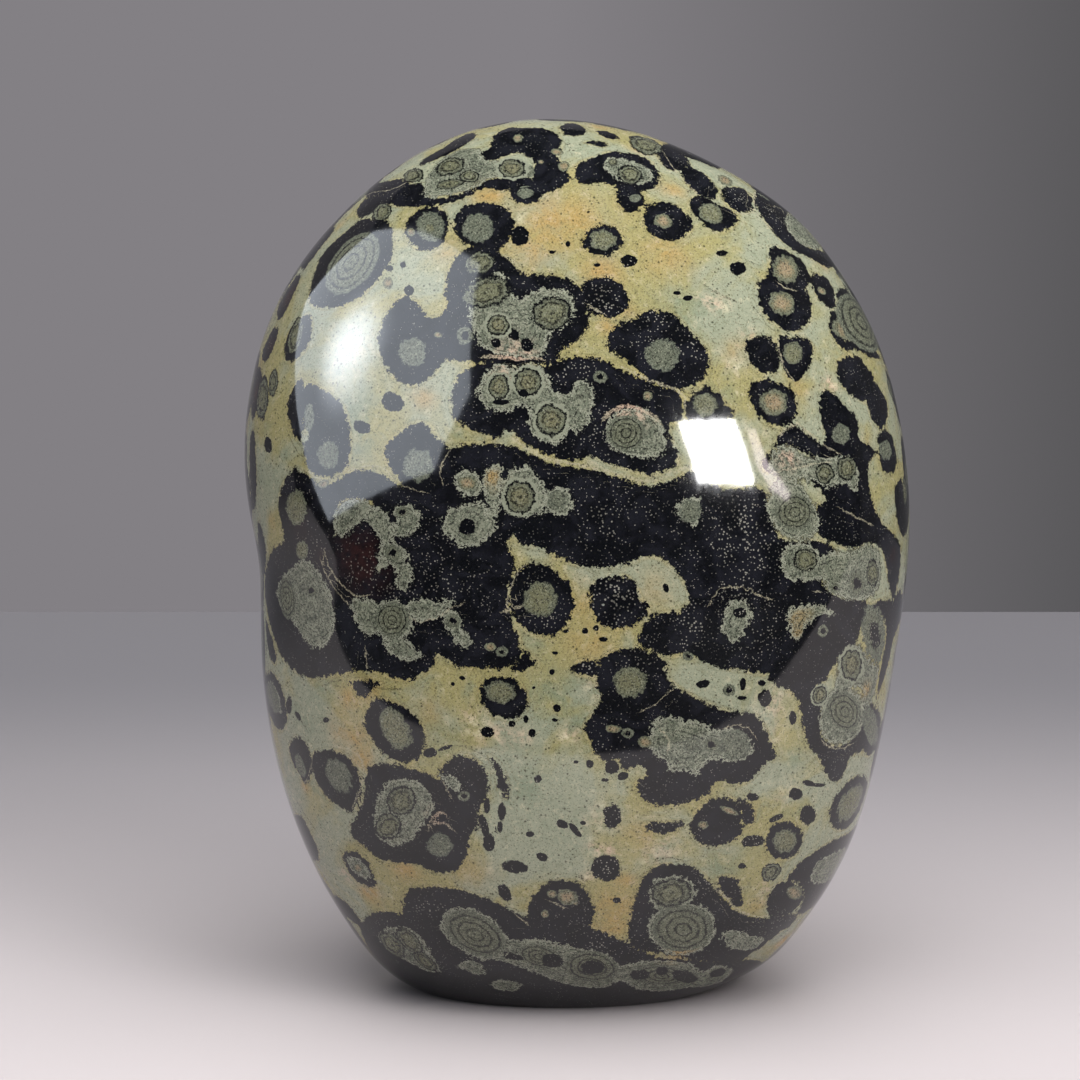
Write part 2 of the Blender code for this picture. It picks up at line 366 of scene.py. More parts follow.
    "rimEye": [(263, 683), (271, 672), (280, 685), (286, 705), (287, 722), (280, 731), (272, 720),
        (266, 702)],
    "tiltedEye": [(364, 721), (370, 704), (380, 699), (395, 703), (412, 713), (424, 730), (424, 748),
        (416, 760), (402, 762), (385, 755), (372, 740)],
    "smallEye": [(480, 700), (482, 682), (495, 677), (510, 677), (520, 683), (526, 697), (524, 712),
        (512, 720), (498, 716), (486, 710)],
    "kite": [(509, 671), (518, 662), (524, 652), (530, 656), (537, 664), (530, 668), (520, 673)],
    "commaDark": [(490, 756), (498, 764), (504, 774), (509, 788), (505, 798), (499, 790), (497, 775)],
    "lowRimSlit": [(294, 817), (302, 817), (310, 832), (318, 850), (318, 861), (308, 857), (300, 841)],
    "lowRimSlitB": [(334, 896), (345, 901), (356, 914), (363, 928), (352, 921), (342, 911)],
    "lowPale": [(343, 856), (352, 851), (365, 858), (373, 872), (375, 887), (362, 884), (350, 874)],
    "browBelow": [(350, 681), (370, 681), (382, 684), (372, 690), (364, 698), (356, 694), (352, 687)],
    "rimStreakA": [(322, 232), (330, 225), (334, 230), (322, 246), (310, 262), (303, 270), (300, 262),
        (310, 246)],
    "rimStreakB": [(291, 284), (298, 274), (300, 280), (292, 298), (284, 314), (278, 320), (278, 308),
        (284, 296)],
    "rimStreakC": [(269, 336), (276, 326), (278, 334), (272, 352), (265, 362), (262, 354)],
    "rimStreakD": [(255, 376), (260, 366), (262, 378), (258, 404), (253, 420), (251, 402)],
    "rimStreakE": [(250, 440), (254, 430), (256, 460), (256, 500), (252, 510), (250, 480)],
    "rimStreakF": [(258, 520), (262, 530), (266, 552), (264, 575), (259, 556)],
    "rimStreakG": [(266, 620), (270, 632), (276, 655), (274, 664), (268, 650)],
}

# Pale grey-green islands that lie inside the dark masses
paleOutlines = {
    "shoulderIsland": [(424, 193), (428, 178), (436, 166), (446, 157), (462, 150), (478, 150), (485, 161),
        (497, 161), (501, 175), (488, 178), (478, 186), (460, 191), (440, 196), (430, 198)],
    "crownIsland": [(603, 163), (612, 158), (628, 160), (642, 165), (653, 174), (650, 181), (634, 184),
        (620, 180), (608, 172)],
    "topIsland": [(470, 312), (466, 298), (474, 280), (486, 276), (503, 273), (508, 288), (520, 300),
        (534, 292), (550, 288), (568, 294), (574, 310), (566, 326), (552, 330), (546, 345), (538, 358),
        (520, 356), (500, 354), (488, 350), (478, 340), (472, 326)],
    "bandIsland": [(480, 386), (488, 372), (500, 365), (515, 370), (530, 365), (546, 372), (551, 388),
        (560, 395), (571, 392), (580, 380), (590, 384), (593, 400), (588, 421), (578, 432), (568, 430),
        (560, 441), (550, 443), (537, 437), (529, 424), (531, 411), (520, 405), (505, 412), (490, 408),
        (479, 398)],
    "greenDisc": [(605, 433), (611, 419), (624, 410), (642, 410), (658, 421), (665, 438), (663, 453),
        (648, 457), (628, 455), (611, 447)],
    "rightIsland": [(806, 462), (815, 458), (830, 458), (842, 456), (852, 459), (858, 475), (856, 492),
        (848, 482), (838, 485), (828, 487), (818, 481), (806, 479)],
    "peach": [(770, 462), (778, 447), (790, 447), (800, 455), (808, 462), (804, 476), (790, 479),
        (774, 474)],
    "rightRings": [(766, 505), (780, 482), (796, 483), (806, 492), (813, 506), (820, 522), (812, 536),
        (796, 538), (783, 534), (772, 520)],
    "shoulderGrey": [(788, 214), (797, 219), (808, 232), (818, 243), (816, 249), (804, 245), (793, 236),
        (786, 224)],
    "ringsBelow": [(782, 565), (784, 550), (797, 544), (812, 546), (822, 556), (832, 552), (842, 553),
        (856, 551), (866, 545), (877, 552), (880, 572), (876, 590), (866, 597), (850, 600), (838, 594),
        (828, 590), (824, 578), (808, 580), (790, 579)],
    "palePatch": [(340, 506), (350, 500), (368, 501), (373, 509), (362, 520), (351, 530), (339, 536),
        (334, 521)],
    "oliveBand": [(364, 517), (377, 508), (388, 518), (391, 540), (385, 566), (376, 571), (381, 546),
        (374, 528)],
    "leftGreen": [(277, 592), (283, 578), (295, 566), (305, 559), (318, 572), (328, 588), (332, 604),
        (334, 626), (328, 642), (316, 648), (304, 640), (296, 625), (284, 612)],
    "oliveLobe": [(352, 603), (365, 598), (378, 605), (383, 618), (378, 631), (367, 636), (358, 625)],
    "ringStack": [(374, 620), (378, 606), (392, 600), (406, 606), (413, 620), (408, 634), (393, 640),
        (380, 634)],
    "greyPatch": [(394, 509), (408, 505), (419, 515), (416, 531), (400, 537), (390, 533), (398, 522)],
    "brownRing": [(384, 553), (390, 544), (402, 545), (407, 556), (401, 565), (389, 563)],
    "oliveStreak": [(398, 566), (409, 562), (412, 575), (404, 590), (396, 585), (397, 575)],
    "diamondEye": [(442, 526), (450, 511), (465, 504), (480, 504), (488, 514), (496, 524), (490, 535),
        (479, 545), (463, 546), (449, 536)],
    "rosetteGround": [(500, 492), (506, 478), (512, 470), (530, 468), (536, 477), (545, 488), (546, 505),
        (536, 515), (520, 516), (506, 509)],
    "speckledPatch": [(546, 498), (552, 490), (565, 489), (572, 500), (568, 512), (556, 516), (547, 508)],
    "ochreStreak": [(484, 474), (494, 466), (502, 470), (500, 485), (500, 500), (498, 516), (490, 512),
        (486, 498)],
    "stoneSpot": [(457, 480), (462, 472), (474, 473), (481, 482), (478, 494), (465, 496), (458, 490)],
    "khakiArc": [(405, 606), (420, 599), (438, 602), (452, 600), (442, 613), (426, 621), (412, 618)],
    "tailEye": [(443, 615), (452, 611), (461, 618), (460, 628), (468, 636), (472, 644), (462, 648),
        (452, 634), (445, 626)],
    "greyStreaks": [(384, 641), (396, 636), (408, 641), (414, 648), (422, 655), (408, 660), (392, 655)],
    "midPatch": [(678, 508), (684, 500), (698, 498), (700, 512), (697, 525), (684, 520)],
    "greenTear": [(723, 618), (728, 606), (738, 600), (749, 605), (752, 614), (745, 630), (740, 639),
        (729, 640), (723, 630)],
    "ochreCorner": [(788, 612), (800, 606), (820, 606), (836, 613), (820, 616), (808, 622), (801, 636),
        (795, 640), (789, 626)],
    "edgeRings": [(838, 676), (843, 655), (856, 645), (862, 650), (872, 665), (878, 668), (872, 700),
        (862, 708), (864, 690), (856, 686), (846, 690), (838, 700), (832, 700), (836, 686)],
    "spiralGround": [(820, 720), (824, 700), (834, 692), (848, 690), (860, 697), (865, 712), (860, 730),
        (848, 741), (834, 743), (824, 735)],
    "bellyRings": [(650, 742), (655, 722), (668, 716), (684, 720), (700, 722), (712, 728), (722, 730),
        (736, 730), (748, 738), (752, 752), (740, 760), (724, 760), (712, 758), (704, 764), (696, 776),
        (686, 770), (672, 772), (664, 760), (654, 752)],
    "clusterIsland": [(375, 815), (378, 798), (388, 784), (402, 779), (418, 782), (430, 795), (433, 812),
        (421, 825), (412, 838), (400, 844), (386, 843), (376, 832)],
    "wedge": [(441, 775), (452, 776), (462, 784), (458, 790), (447, 786)],
    "chain": [(440, 926), (448, 912), (465, 908), (485, 914), (500, 928), (512, 940), (540, 940),
        (575, 948), (606, 955), (621, 966), (640, 961), (665, 961), (690, 964), (704, 972), (716, 965),
        (732, 970), (722, 981), (706, 986), (690, 987), (665, 991), (640, 989), (621, 981), (605, 987),
        (585, 987), (560, 982), (535, 972), (515, 965), (500, 960), (480, 959), (465, 952), (450, 942)],
    "pair": [(379, 934), (392, 928), (405, 927), (420, 937), (431, 954), (440, 970), (426, 971), (410, 962),
        (395, 955), (384, 946)],
    "footRings": [(458, 966), (468, 960), (482, 966), (484, 975), (470, 972)],
    "footRingsB": [(490, 984), (505, 980), (520, 984), (515, 991), (500, 989)],
    "bellyEye": [(650, 890), (656, 880), (672, 876), (688, 880), (696, 892), (690, 904), (704, 906),
        (714, 920), (714, 938), (700, 950), (682, 955), (664, 951), (652, 940), (648, 925), (656, 912),
        (652, 902)],
    "slateEye": [(812, 873), (818, 862), (832, 854), (845, 849), (840, 866), (828, 880), (813, 883)],
    "lowWisps": [(722, 934), (735, 930), (752, 936), (764, 938), (756, 948), (738, 950), (726, 944)],
    "lowPaleIn": [(347, 861), (353, 857), (364, 864), (371, 876), (364, 878), (354, 872)],
    "rimIn": [(267, 690), (272, 682), (279, 698), (281, 712), (275, 708)],
}

# Ring-grown eyes: x, y, half length, half width, tilt in degrees from level, dark surround as a share of
# the eye's own size (0 where the eye lies in a mass that is already drawn)
eyesSeen = {
    "growthRings": [(351, 262, 36, 20, 52, 0), (862, 322, 33, 13, -60, 0), (287, 598, 21, 8, 96, 0),
        (795, 512, 19, 18, 0, 0), (475, 935, 33, 19, -28, 0), (683, 930, 30, 23, 0, 0),
        (592, 968, 27, 15, -6, 0), (845, 712, 16, 20, 20, 0), (626, 433, 19, 18, 0, 0),
        (392, 620, 17, 17, 0, 0), (540, 957, 22, 11, -14, 0), (662, 976, 26, 10, -4, 0)],
    "plain": [(430, 226, 14, 14, 0, 0), (478, 227, 15, 15, 0, 0), (662, 355, 17, 16, 0, 0),
        (412, 352, 14, 14, 0, 0), (328, 455, 13, 11, 90, 0), (309, 417, 13, 5, 90, 0),
        (418, 465, 16, 15, 90, 0), (841, 434, 10, 9, 90, 0), (886, 450, 10, 6, 100, 0),
        (690, 511, 11, 11, 0, 0), (338, 776, 18, 11, -62, 0), (300, 765, 12, 4, -70, 0),
        (272, 697, 16, 5, -74, 0), (692, 745, 9, 8, 20, 0), (735, 745, 15, 15, 0, 0),
        (526, 193, 8, 5, 0, 2.1), (635, 198, 6, 4, 0, 0), (558, 500, 10, 9, 0, 0), (872, 728, 20, 7, 98, 0),
        (440, 845, 13, 12, 0, 0)],
    "yolk": [(705, 405, 12, 11, 0, 0), (603, 240, 13, 10, 0, 1.55), (711, 213, 13, 9, -28, 0),
        (793, 353, 11, 10, 90, 0), (296, 508, 17, 10, 92, 0), (302, 550, 9, 6, 92, 0),
        (395, 729, 23, 13, -60, 0), (785, 841, 12, 11, 60, 1.62), (852, 803, 20, 9, 62, 1.5),
        (500, 692, 15, 11, -5, 0), (540, 599, 17, 17, 0, 0), (630, 682, 16, 15, 0, 0),
        (430, 228, 5, 4, 0, 0)],
    "outlined": [(382, 212, 9, 7, 35, 0), (413, 175, 9, 6, 20, 0), (450, 166, 13, 7, 18, 0),
        (469, 176, 9, 5, 0, 0), (450, 184, 12, 4, 10, 0), (479, 263, 14, 10, 15, 0),
        (486, 292, 22, 13, 15, 0), (646, 144, 15, 7, -18, 0), (630, 174, 11, 8, -10, 0),
        (613, 162, 4, 3, 0, 0), (262, 398, 19, 5, 86, 0), (273, 383, 12, 4, 84, 0), (825, 473, 9, 8, 90, 0),
        (873, 573, 12, 5, 92, 0), (388, 827, 12, 11, 30, 0), (401, 801, 13, 12, 30, 0),
        (392, 945, 15, 7, -45, 0), (409, 941, 15, 7, -45, 0), (425, 961, 13, 5, -40, 0),
        (672, 893, 17, 12, 6, 0), (771, 872, 9, 7, 38, 0), (552, 313, 17, 14, 10, 0),
        (847, 468, 11, 8, 90, 0), (806, 560, 10, 10, 0, 0), (295, 336, 17, 6, 76, 0)],
    "rosette": [(499, 387, 9, 11, 0, 0), (528, 382, 12, 12, 0, 0), (551, 420, 13, 14, 0, 0),
        (520, 497, 13, 14, 0, 0), (498, 325, 10, 9, 0, 0), (820, 695, 8, 6, 70, 0),
        (852, 665, 13, 9, 90, 0), (512, 168, 12, 8, 0, 0)],
    "tan": [(774, 402, 14, 13, -20, 0), (786, 269, 14, 12, -42, 0), (782, 303, 13, 11, -35, 0),
        (845, 329, 13, 9, -35, 0), (725, 180, 9, 4, -28, 0), (663, 221, 9, 7, -25, 0),
        (567, 897, 10, 8, -10, 0), (467, 483, 9, 7, -10, 0)],
    "darkHeart": [(548, 301, 6, 5, 0, 0), (465, 336, 8, 9, 0, 0), (600, 377, 7, 6, 0, 0),
        (402, 512, 7, 5, 0, 0), (393, 553, 8, 8, 0, 0), (311, 591, 6, 6, 0, 0), (453, 621, 8, 7, 0, 0),
        (857, 583, 14, 9, 90, 0), (836, 588, 5, 5, 0, 0), (875, 635, 29, 11, 94, 0), (712, 745, 8, 8, 0, 0),
        (525, 171, 10, 6, 0, 0), (464, 796, 6, 5, 0, 0), (823, 631, 6, 5, 70, 0), (688, 656, 5, 5, 0, 0),
        (628, 733, 6, 5, 0, 0), (502, 652, 6, 5, 0, 0), (729, 690, 6, 6, 0, 0)],
    "cream": [(518, 138, 5, 4, 0, 0), (557, 152, 6, 3, -10, 0), (564, 166, 6, 5, 0, 0),
        (541, 162, 3, 2, 0, 0), (411, 232, 4, 4, 0, 0), (388, 283, 5, 6, 0, 0), (438, 335, 4, 3, 0, 0),
        (648, 396, 5, 5, 0, 0), (645, 742, 7, 6, 0, 0), (613, 729, 8, 4, -5, 0), (703, 825, 5, 4, 0, 0),
        (795, 893, 7, 8, 60, 0), (545, 914, 4, 4, 0, 0), (552, 894, 5, 4, 0, 0), (490, 647, 6, 4, 0, 0),
        (358, 868, 5, 4, -50, 0), (730, 811, 10, 3, -22, 0), (323, 484, 6, 4, 20, 0),
        (822, 291, 5, 3, -35, 0), (575, 903, 3, 2, 0, 0)],
    "spot": [(520, 236, 9, 10, 0, 0), (629, 261, 8, 6, 0, 0), (738, 268, 8, 7, 0, 0),
        (268, 445, 8, 4, 94, 0), (392, 402, 12, 9, -20, 0), (362, 427, 9, 6, -25, 0),
        (467, 527, 8, 8, 0, 0), (740, 613, 7, 5, 0, 0), (496, 343, 5, 5, 0, 0), (513, 334, 5, 8, 40, 0),
        (527, 345, 6, 7, 20, 0), (501, 402, 8, 3, 0, 0), (523, 393, 5, 4, 0, 0), (466, 931, 9, 7, -20, 0),
        (490, 943, 12, 8, -25, 0), (552, 961, 11, 7, -5, 0), (592, 968, 12, 7, 0, 0),
        (515, 957, 9, 3, -8, 0), (640, 975, 10, 5, 0, 0), (662, 971, 6, 4, 0, 0), (685, 977, 13, 6, -12, 0),
        (718, 973, 8, 4, 20, 0), (685, 930, 15, 11, 0, 0), (403, 265, 3, 3, 0, 0), (389, 268, 4, 3, 0, 0),
        (409, 290, 5, 5, 0, 0), (589, 213, 2, 2, 0, 0), (568, 244, 3, 3, 0, 0), (552, 252, 3, 2, 0, 0),
        (597, 265, 4, 2, 0, 0), (555, 653, 3, 2, 0, 0), (552, 672, 3, 3, 30, 0), (462, 678, 3, 2, 0, 0),
        (453, 684, 2, 2, 0, 0), (534, 688, 2, 2, 0, 0), (557, 708, 4, 4, 0, 0), (526, 719, 3, 4, 0, 0),
        (512, 724, 4, 3, 0, 0), (555, 720, 3, 2, 0, 0), (532, 733, 4, 4, 0, 0), (487, 732, 7, 5, 0, 0),
        (576, 762, 3, 2, 0, 0), (590, 764, 4, 4, 0, 0), (538, 779, 4, 4, 0, 0), (605, 780, 4, 2, 0, 0),
        (612, 767, 7, 7, 0, 0), (623, 776, 6, 4, 20, 0), (562, 824, 6, 4, -25, 0), (575, 830, 9, 3, -50, 0),
        (530, 834, 4, 3, 0, 0), (542, 857, 6, 4, -20, 0), (666, 588, 3, 5, 20, 0), (703, 684, 7, 4, 10, 0),
        (742, 866, 4, 3, 0, 0), (753, 797, 6, 4, 0, 0), (808, 783, 6, 3, -15, 0), (515, 867, 13, 6, -8, 0),
        (606, 868, 15, 13, 0, 0), (612, 816, 9, 12, 0, 0), (753, 841, 12, 6, 5, 0), (765, 698, 7, 9, 0, 0),
        (793, 718, 4, 7, 0, 0), (796, 794, 7, 6, 0, 0), (808, 815, 8, 10, 0, 0), (487, 806, 3, 8, 0, 0),
        (502, 812, 4, 9, 0, 0), (500, 827, 3, 6, 0, 0), (484, 826, 4, 12, 15, 0), (489, 843, 6, 9, 0, 0),
        (776, 818, 8, 3, 25, 0), (430, 753, 7, 5, 0, 0), (445, 748, 8, 2, 20, 0), (762, 683, 4, 3, 0, 0),
        (743, 684, 3, 6, 0, 0), (742, 698, 5, 2, 0, 0), (298, 716, 2, 5, 30, 0), (289, 705, 3, 8, 0, 0),
        (326, 720, 3, 3, 0, 0), (505, 893, 6, 9, 30, 0), (617, 900, 4, 3, 0, 0), (697, 830, 5, 3, 20, 0),
        (583, 823, 3, 2, 0, 0), (601, 582, 5, 4, 0, 0), (585, 631, 3, 3, 0, 0), (596, 628, 3, 3, 0, 0),
        (566, 631, 3, 2, 0, 0), (603, 639, 5, 2, 0, 0), (722, 253, 6, 3, 0, 0), (688, 298, 5, 3, 0, 0),
        (677, 293, 4, 2, 0, 0), (818, 785, 8, 2, 0, 0), (833, 600, 3, 2, 0, 0)],
}

# How each kind looks: tone from grey-green to tan, dark heart, ring spacing, pale outer ring
eyeLooks = {
    "growthRings": (0.25, 0.0, 0.27, 0.0),
    "plain": (0.15, 0.0, 0.0, 0.0),
    "yolk": (0.60, 0.0, 0.0, 0.0),
    "outlined": (0.40, 0.0, 0.70, 0.0),
    "rosette": (0.65, 0.0, 0.62, 0.45),
    "tan": (1.0, 0.0, 0.0, 0.0),
    "darkHeart": (0.20, 0.50, 0.0, 0.0),
    "cream": (0.90, 0.0, 0.0, 0.0),
    "spot": (0.0, 1.6, 0.0, 0.0),
}

# Thin healed cracks, as lines of points with a half width in mm. A minus width is a dark crack.
veinsSeen = [
    (0.40, [(508, 436), (520, 444), (535, 453), (555, 461), (575, 464), (600, 469), (625, 476), (650, 481),
        (670, 474), (688, 467), (698, 474)]),
    (0.75, [(584, 462), (592, 462), (600, 466)]),
    (0.35, [(618, 364), (640, 376), (660, 384), (677, 390), (685, 400), (685, 414)]),
    (0.22, [(303, 468), (318, 478), (330, 484)]),
    (0.20, [(345, 472), (365, 466), (384, 468), (394, 482)]),
    (0.20, [(400, 484), (414, 490), (430, 494)]),
    (0.16, [(508, 614), (507, 600), (513, 582), (519, 570), (528, 562)]),
    (0.35, [(500, 613), (512, 609), (524, 606), (534, 604)]),
    (0.18, [(404, 614), (420, 622), (438, 617), (446, 611), (456, 606), (466, 603)]),
    (0.25, [(836, 506), (850, 514), (862, 520), (874, 526)]),
    (0.30, [(778, 437), (788, 428), (798, 424), (808, 432), (818, 440)]),
    (0.32, [(768, 474), (785, 470), (800, 468), (815, 463), (832, 462)]),
    (0.20, [(707, 608), (716, 594), (724, 588), (745, 588), (760, 596), (773, 600)]),
    (0.18, [(441, 778), (447, 790), (453, 801)]),
    (0.25, [(311, 750), (312, 765), (306, 780), (304, 790)]),
    (0.30, [(352, 808), (359, 792), (364, 775), (360, 757), (345, 748), (328, 746)]),
    (0.16, [(636, 714), (655, 704), (668, 693), (678, 684)]),
    (0.22, [(658, 726), (668, 740), (667, 757)]),
    (0.30, [(820, 738), (828, 746), (840, 749), (854, 743)]),
    (0.20, [(720, 730), (735, 725), (748, 728), (758, 740)]),
    (0.45, [(447, 818), (443, 812), (434, 816), (430, 824), (444, 823), (456, 833)]),
    (0.35, [(546, 899), (556, 904), (569, 909)]),
    (0.30, [(512, 911), (520, 918), (530, 926)]),
    (0.45, [(715, 888), (727, 898), (738, 910), (754, 916), (770, 916)]),
    (0.28, [(362, 197), (375, 192), (390, 190), (404, 184), (412, 178)]),
    (0.50, [(478, 357), (500, 357), (520, 359), (532, 358), (546, 361)]),
    (0.40, [(690, 296), (704, 300), (716, 304), (724, 309)]),
    (0.40, [(812, 592), (818, 591), (824, 592)]),
    (0.28, [(583, 302), (598, 311), (608, 317)]),
    (0.50, [(600, 424), (611, 412), (625, 406), (641, 409), (655, 418), (664, 426)]),
    (0.35, [(776, 281), (786, 288), (798, 291)]),
    (0.25, [(324, 548), (329, 566), (341, 584), (357, 596), (372, 594)]),
    (0.22, [(320, 556), (326, 575), (338, 593), (350, 606)]),
    (0.20, [(452, 448), (444, 460), (440, 474), (444, 486)]),
    (0.25, [(822, 444), (832, 450), (842, 455)]),
    (0.30, [(755, 190), (754, 200), (756, 212), (764, 222), (776, 232)]),
    (0.22, [(766, 205), (780, 208), (784, 214)]),
    (0.30, [(712, 172), (722, 188), (718, 198), (728, 208), (742, 214), (756, 212)]),
    (0.22, [(662, 150), (676, 172), (690, 186), (700, 196)]),
    (0.30, [(778, 336), (780, 352), (786, 370), (796, 382)]),
    (0.25, [(832, 310), (840, 312), (852, 324), (860, 338), (872, 346)]),
    (0.30, [(365, 645), (366, 658), (367, 670)]),
    (-0.22, [(742, 258), (752, 262), (764, 268)]),
    (-0.30, [(700, 282), (710, 289), (722, 295), (740, 303)]),
    (-0.18, [(669, 178), (683, 187), (694, 195), (704, 206), (718, 214)]),
    (-0.18, [(738, 220), (752, 226), (762, 234), (770, 240)]),
    (-0.15, [(641, 262), (650, 272), (661, 280)]),
    (-0.20, [(750, 304), (760, 314), (768, 326), (780, 334)]),
    (-0.30, [(372, 688), (386, 689), (404, 689)]),
    (-0.35, [(298, 715), (303, 724), (309, 733)]),
    (-0.30, [(322, 686), (332, 682), (342, 681)]),
    (-0.15, [(445, 746), (462, 746), (478, 752), (488, 760)]),
    (-0.20, [(565, 727), (576, 727), (588, 731)]),
    (-0.25, [(575, 874), (584, 880), (594, 886)]),
    (-0.20, [(330, 470), (310, 462), (296, 450), (288, 432)]),
    (-0.35, [(250, 430), (251, 460), (252, 490), (256, 520)]),
    (-0.30, [(255, 520), (260, 545), (264, 560)]),
    (-0.25, [(284, 300), (272, 325), (262, 345)]),
    (-0.25, [(300, 262), (286, 288), (276, 312)]),
    (-0.20, [(354, 204), (334, 224), (316, 248)]),
    (-0.35, [(398, 168), (380, 180), (366, 194)]),
    (-0.20, [(882, 690), (872, 715), (868, 735)]),
    (-0.22, [(895, 395), (900, 420), (903, 445)]),
    (-0.25, [(894, 440), (898, 455), (899, 470)]),
    (-0.20, [(862, 308), (872, 326), (880, 348)]),
    (-0.30, [(296, 800), (306, 816), (318, 834)]),
    (-0.25, [(650, 864), (668, 858), (690, 862)]),
]

# Soft changes of colour: x, y, radius in pixels, strength
tintsSeen = {
    "ochre": [(560, 222, 42, 0.9), (530, 248, 26, 0.8), (490, 194, 18, 1.0), (600, 272, 20, 0.9),
        (448, 250, 14, 0.6), (665, 255, 24, 0.8), (628, 205, 14, 0.7), (640, 150, 12, 0.9),
        (672, 190, 14, 0.8), (740, 352, 14, 0.7), (820, 262, 14, 0.6), (349, 735, 22, 1.0),
        (362, 758, 16, 1.0), (350, 700, 12, 0.9), (368, 690, 12, 0.8), (492, 478, 9, 1.0),
        (438, 488, 8, 1.0), (582, 600, 16, 0.5), (590, 642, 22, 0.5), (655, 590, 18, 0.4),
        (615, 905, 20, 1.0), (612, 926, 16, 1.0), (678, 955, 14, 1.2), (804, 926, 16, 1.0),
        (782, 942, 14, 1.2), (370, 893, 14, 1.2), (405, 868, 16, 0.9), (318, 880, 10, 0.8),
        (305, 786, 8, 0.9), (424, 398, 12, 0.7), (800, 620, 12, 0.9), (799, 632, 8, 1.0),
        (800, 390, 12, 0.7), (272, 520, 8, 0.6), (262, 360, 8, 0.9), (340, 225, 10, 0.5),
        (320, 240, 8, 0.8), (610, 326, 10, 0.8), (628, 312, 8, 0.8), (868, 440, 8, 0.5),
        (600, 127, 14, 0.7), (636, 132, 12, 0.9), (664, 143, 10, 0.9), (375, 575, 6, 0.9),
        (470, 872, 20, 0.4), (625, 880, 10, 0.9), (430, 712, 12, 0.6), (640, 832, 16, 0.4),
        (758, 905, 12, 0.5), (866, 690, 8, 1.0)],
    "green": [(308, 710, 26, 1.0), (322, 690, 18, 0.8), (566, 700, 34, 0.7), (530, 640, 20, 0.3),
        (520, 790, 34, 0.8), (560, 830, 30, 0.6), (690, 310, 26, 0.8), (725, 862, 24, 0.9),
        (795, 755, 16, 0.8), (284, 455, 10, 0.8), (552, 266, 14, 0.5), (722, 392, 12, 0.8),
        (792, 806, 12, 0.7), (440, 735, 24, 0.6), (355, 405, 20, 0.6), (320, 365, 16, 0.5),
        (305, 390, 10, 0.6), (760, 700, 20, 0.3), (575, 405, 12, 0.9), (300, 600, 20, 0.8),
        (800, 705, 16, 0.3), (430, 550, 18, 0.7), (885, 495, 12, 0.5), (262, 480, 10, 0.6),
        (268, 430, 8, 0.7)],
    "cream": [(478, 725, 16, 0.9), (500, 735, 10, 0.9), (524, 738, 8, 0.8), (772, 705, 16, 0.7),
        (770, 740, 14, 0.6), (787, 458, 9, 1.4), (515, 360, 18, 1.2), (830, 384, 8, 1.3),
        (598, 850, 9, 1.3), (345, 875, 8, 1.2), (715, 303, 12, 0.8), (750, 335, 8, 0.9), (568, 735, 7, 1.2),
        (596, 690, 10, 0.7), (785, 790, 12, 0.5), (630, 408, 16, 1.2), (520, 218, 8, 0.7),
        (765, 890, 14, 0.6), (590, 875, 8, 0.8), (438, 818, 10, 0.9), (350, 350, 30, 0.4),
        (610, 850, 8, 1.0), (735, 366, 8, 0.8), (660, 850, 20, 0.5), (600, 820, 16, 0.4)],
    "maroon": [(360, 560, 25, 1.4), (345, 545, 12, 0.6), (300, 530, 14, 0.5), (320, 555, 10, 0.5),
        (290, 300, 10, 0.8), (270, 330, 10, 0.9), (258, 365, 8, 0.8), (640, 905, 8, 0.3),
        (893, 555, 8, 1.0), (735, 158, 14, 0.6), (312, 248, 14, 1.3), (290, 296, 14, 1.3),
        (270, 346, 12, 1.3), (256, 392, 12, 1.3)],
}

# Where the dark masses are dusted with pale grains: x, y, radius, strength
saltSeen = [(735, 198, 18, 1.0), (740, 530, 44, 1.0), (700, 520, 26, 0.7), (600, 515, 24, 0.9),
    (640, 500, 26, 0.4), (615, 600, 26, 1.4), (600, 298, 22, 0.9), (650, 330, 26, 0.7), (690, 350, 20, 0.7),
    (690, 625, 22, 0.9), (740, 600, 34, 0.8), (770, 620, 22, 0.6), (775, 215, 18, 1.2), (440, 585, 34, 0.8),
    (430, 540, 20, 0.6), (500, 540, 14, 0.5), (360, 560, 26, 0.7), (310, 545, 16, 0.7), (560, 600, 14, 0.6),
    (540, 620, 20, 0.6), (530, 580, 16, 0.5), (840, 520, 26, 0.4), (800, 445, 16, 0.6), (600, 440, 24, 0.7),
    (560, 445, 14, 0.7), (480, 410, 14, 0.6), (700, 890, 16, 0.9), (590, 905, 14, 0.8), (600, 940, 24, 0.8),
    (640, 935, 16, 0.5), (730, 890, 12, 0.9), (610, 860, 16, 0.9), (612, 818, 12, 0.9), (660, 828, 16, 1.0),
    (752, 842, 12, 0.9), (350, 845, 14, 1.0), (640, 660, 24, 0.8), (650, 790, 14, 0.8), (610, 745, 20, 0.4),
    (570, 375, 22, 0.6), (430, 905, 16, 0.9), (770, 925, 22, 0.7), (480, 310, 12, 0.3), (800, 560, 18, 0.8),
    (586, 668, 10, 1.0), (390, 585, 18, 0.9), (760, 640, 22, 0.7), (780, 560, 20, 0.6), (870, 640, 16, 1.0),
    (300, 490, 14, 0.6)]

# The far side carries on the same growth, turned and mirrored, so that no view is left bare
farSide = {
    "turn": math.radians(152),
    "reach": 1.50,      # radians from the middle of the back that its own markings fill
    "fade": 55,         # mm a radian that they give way by, beyond that
}
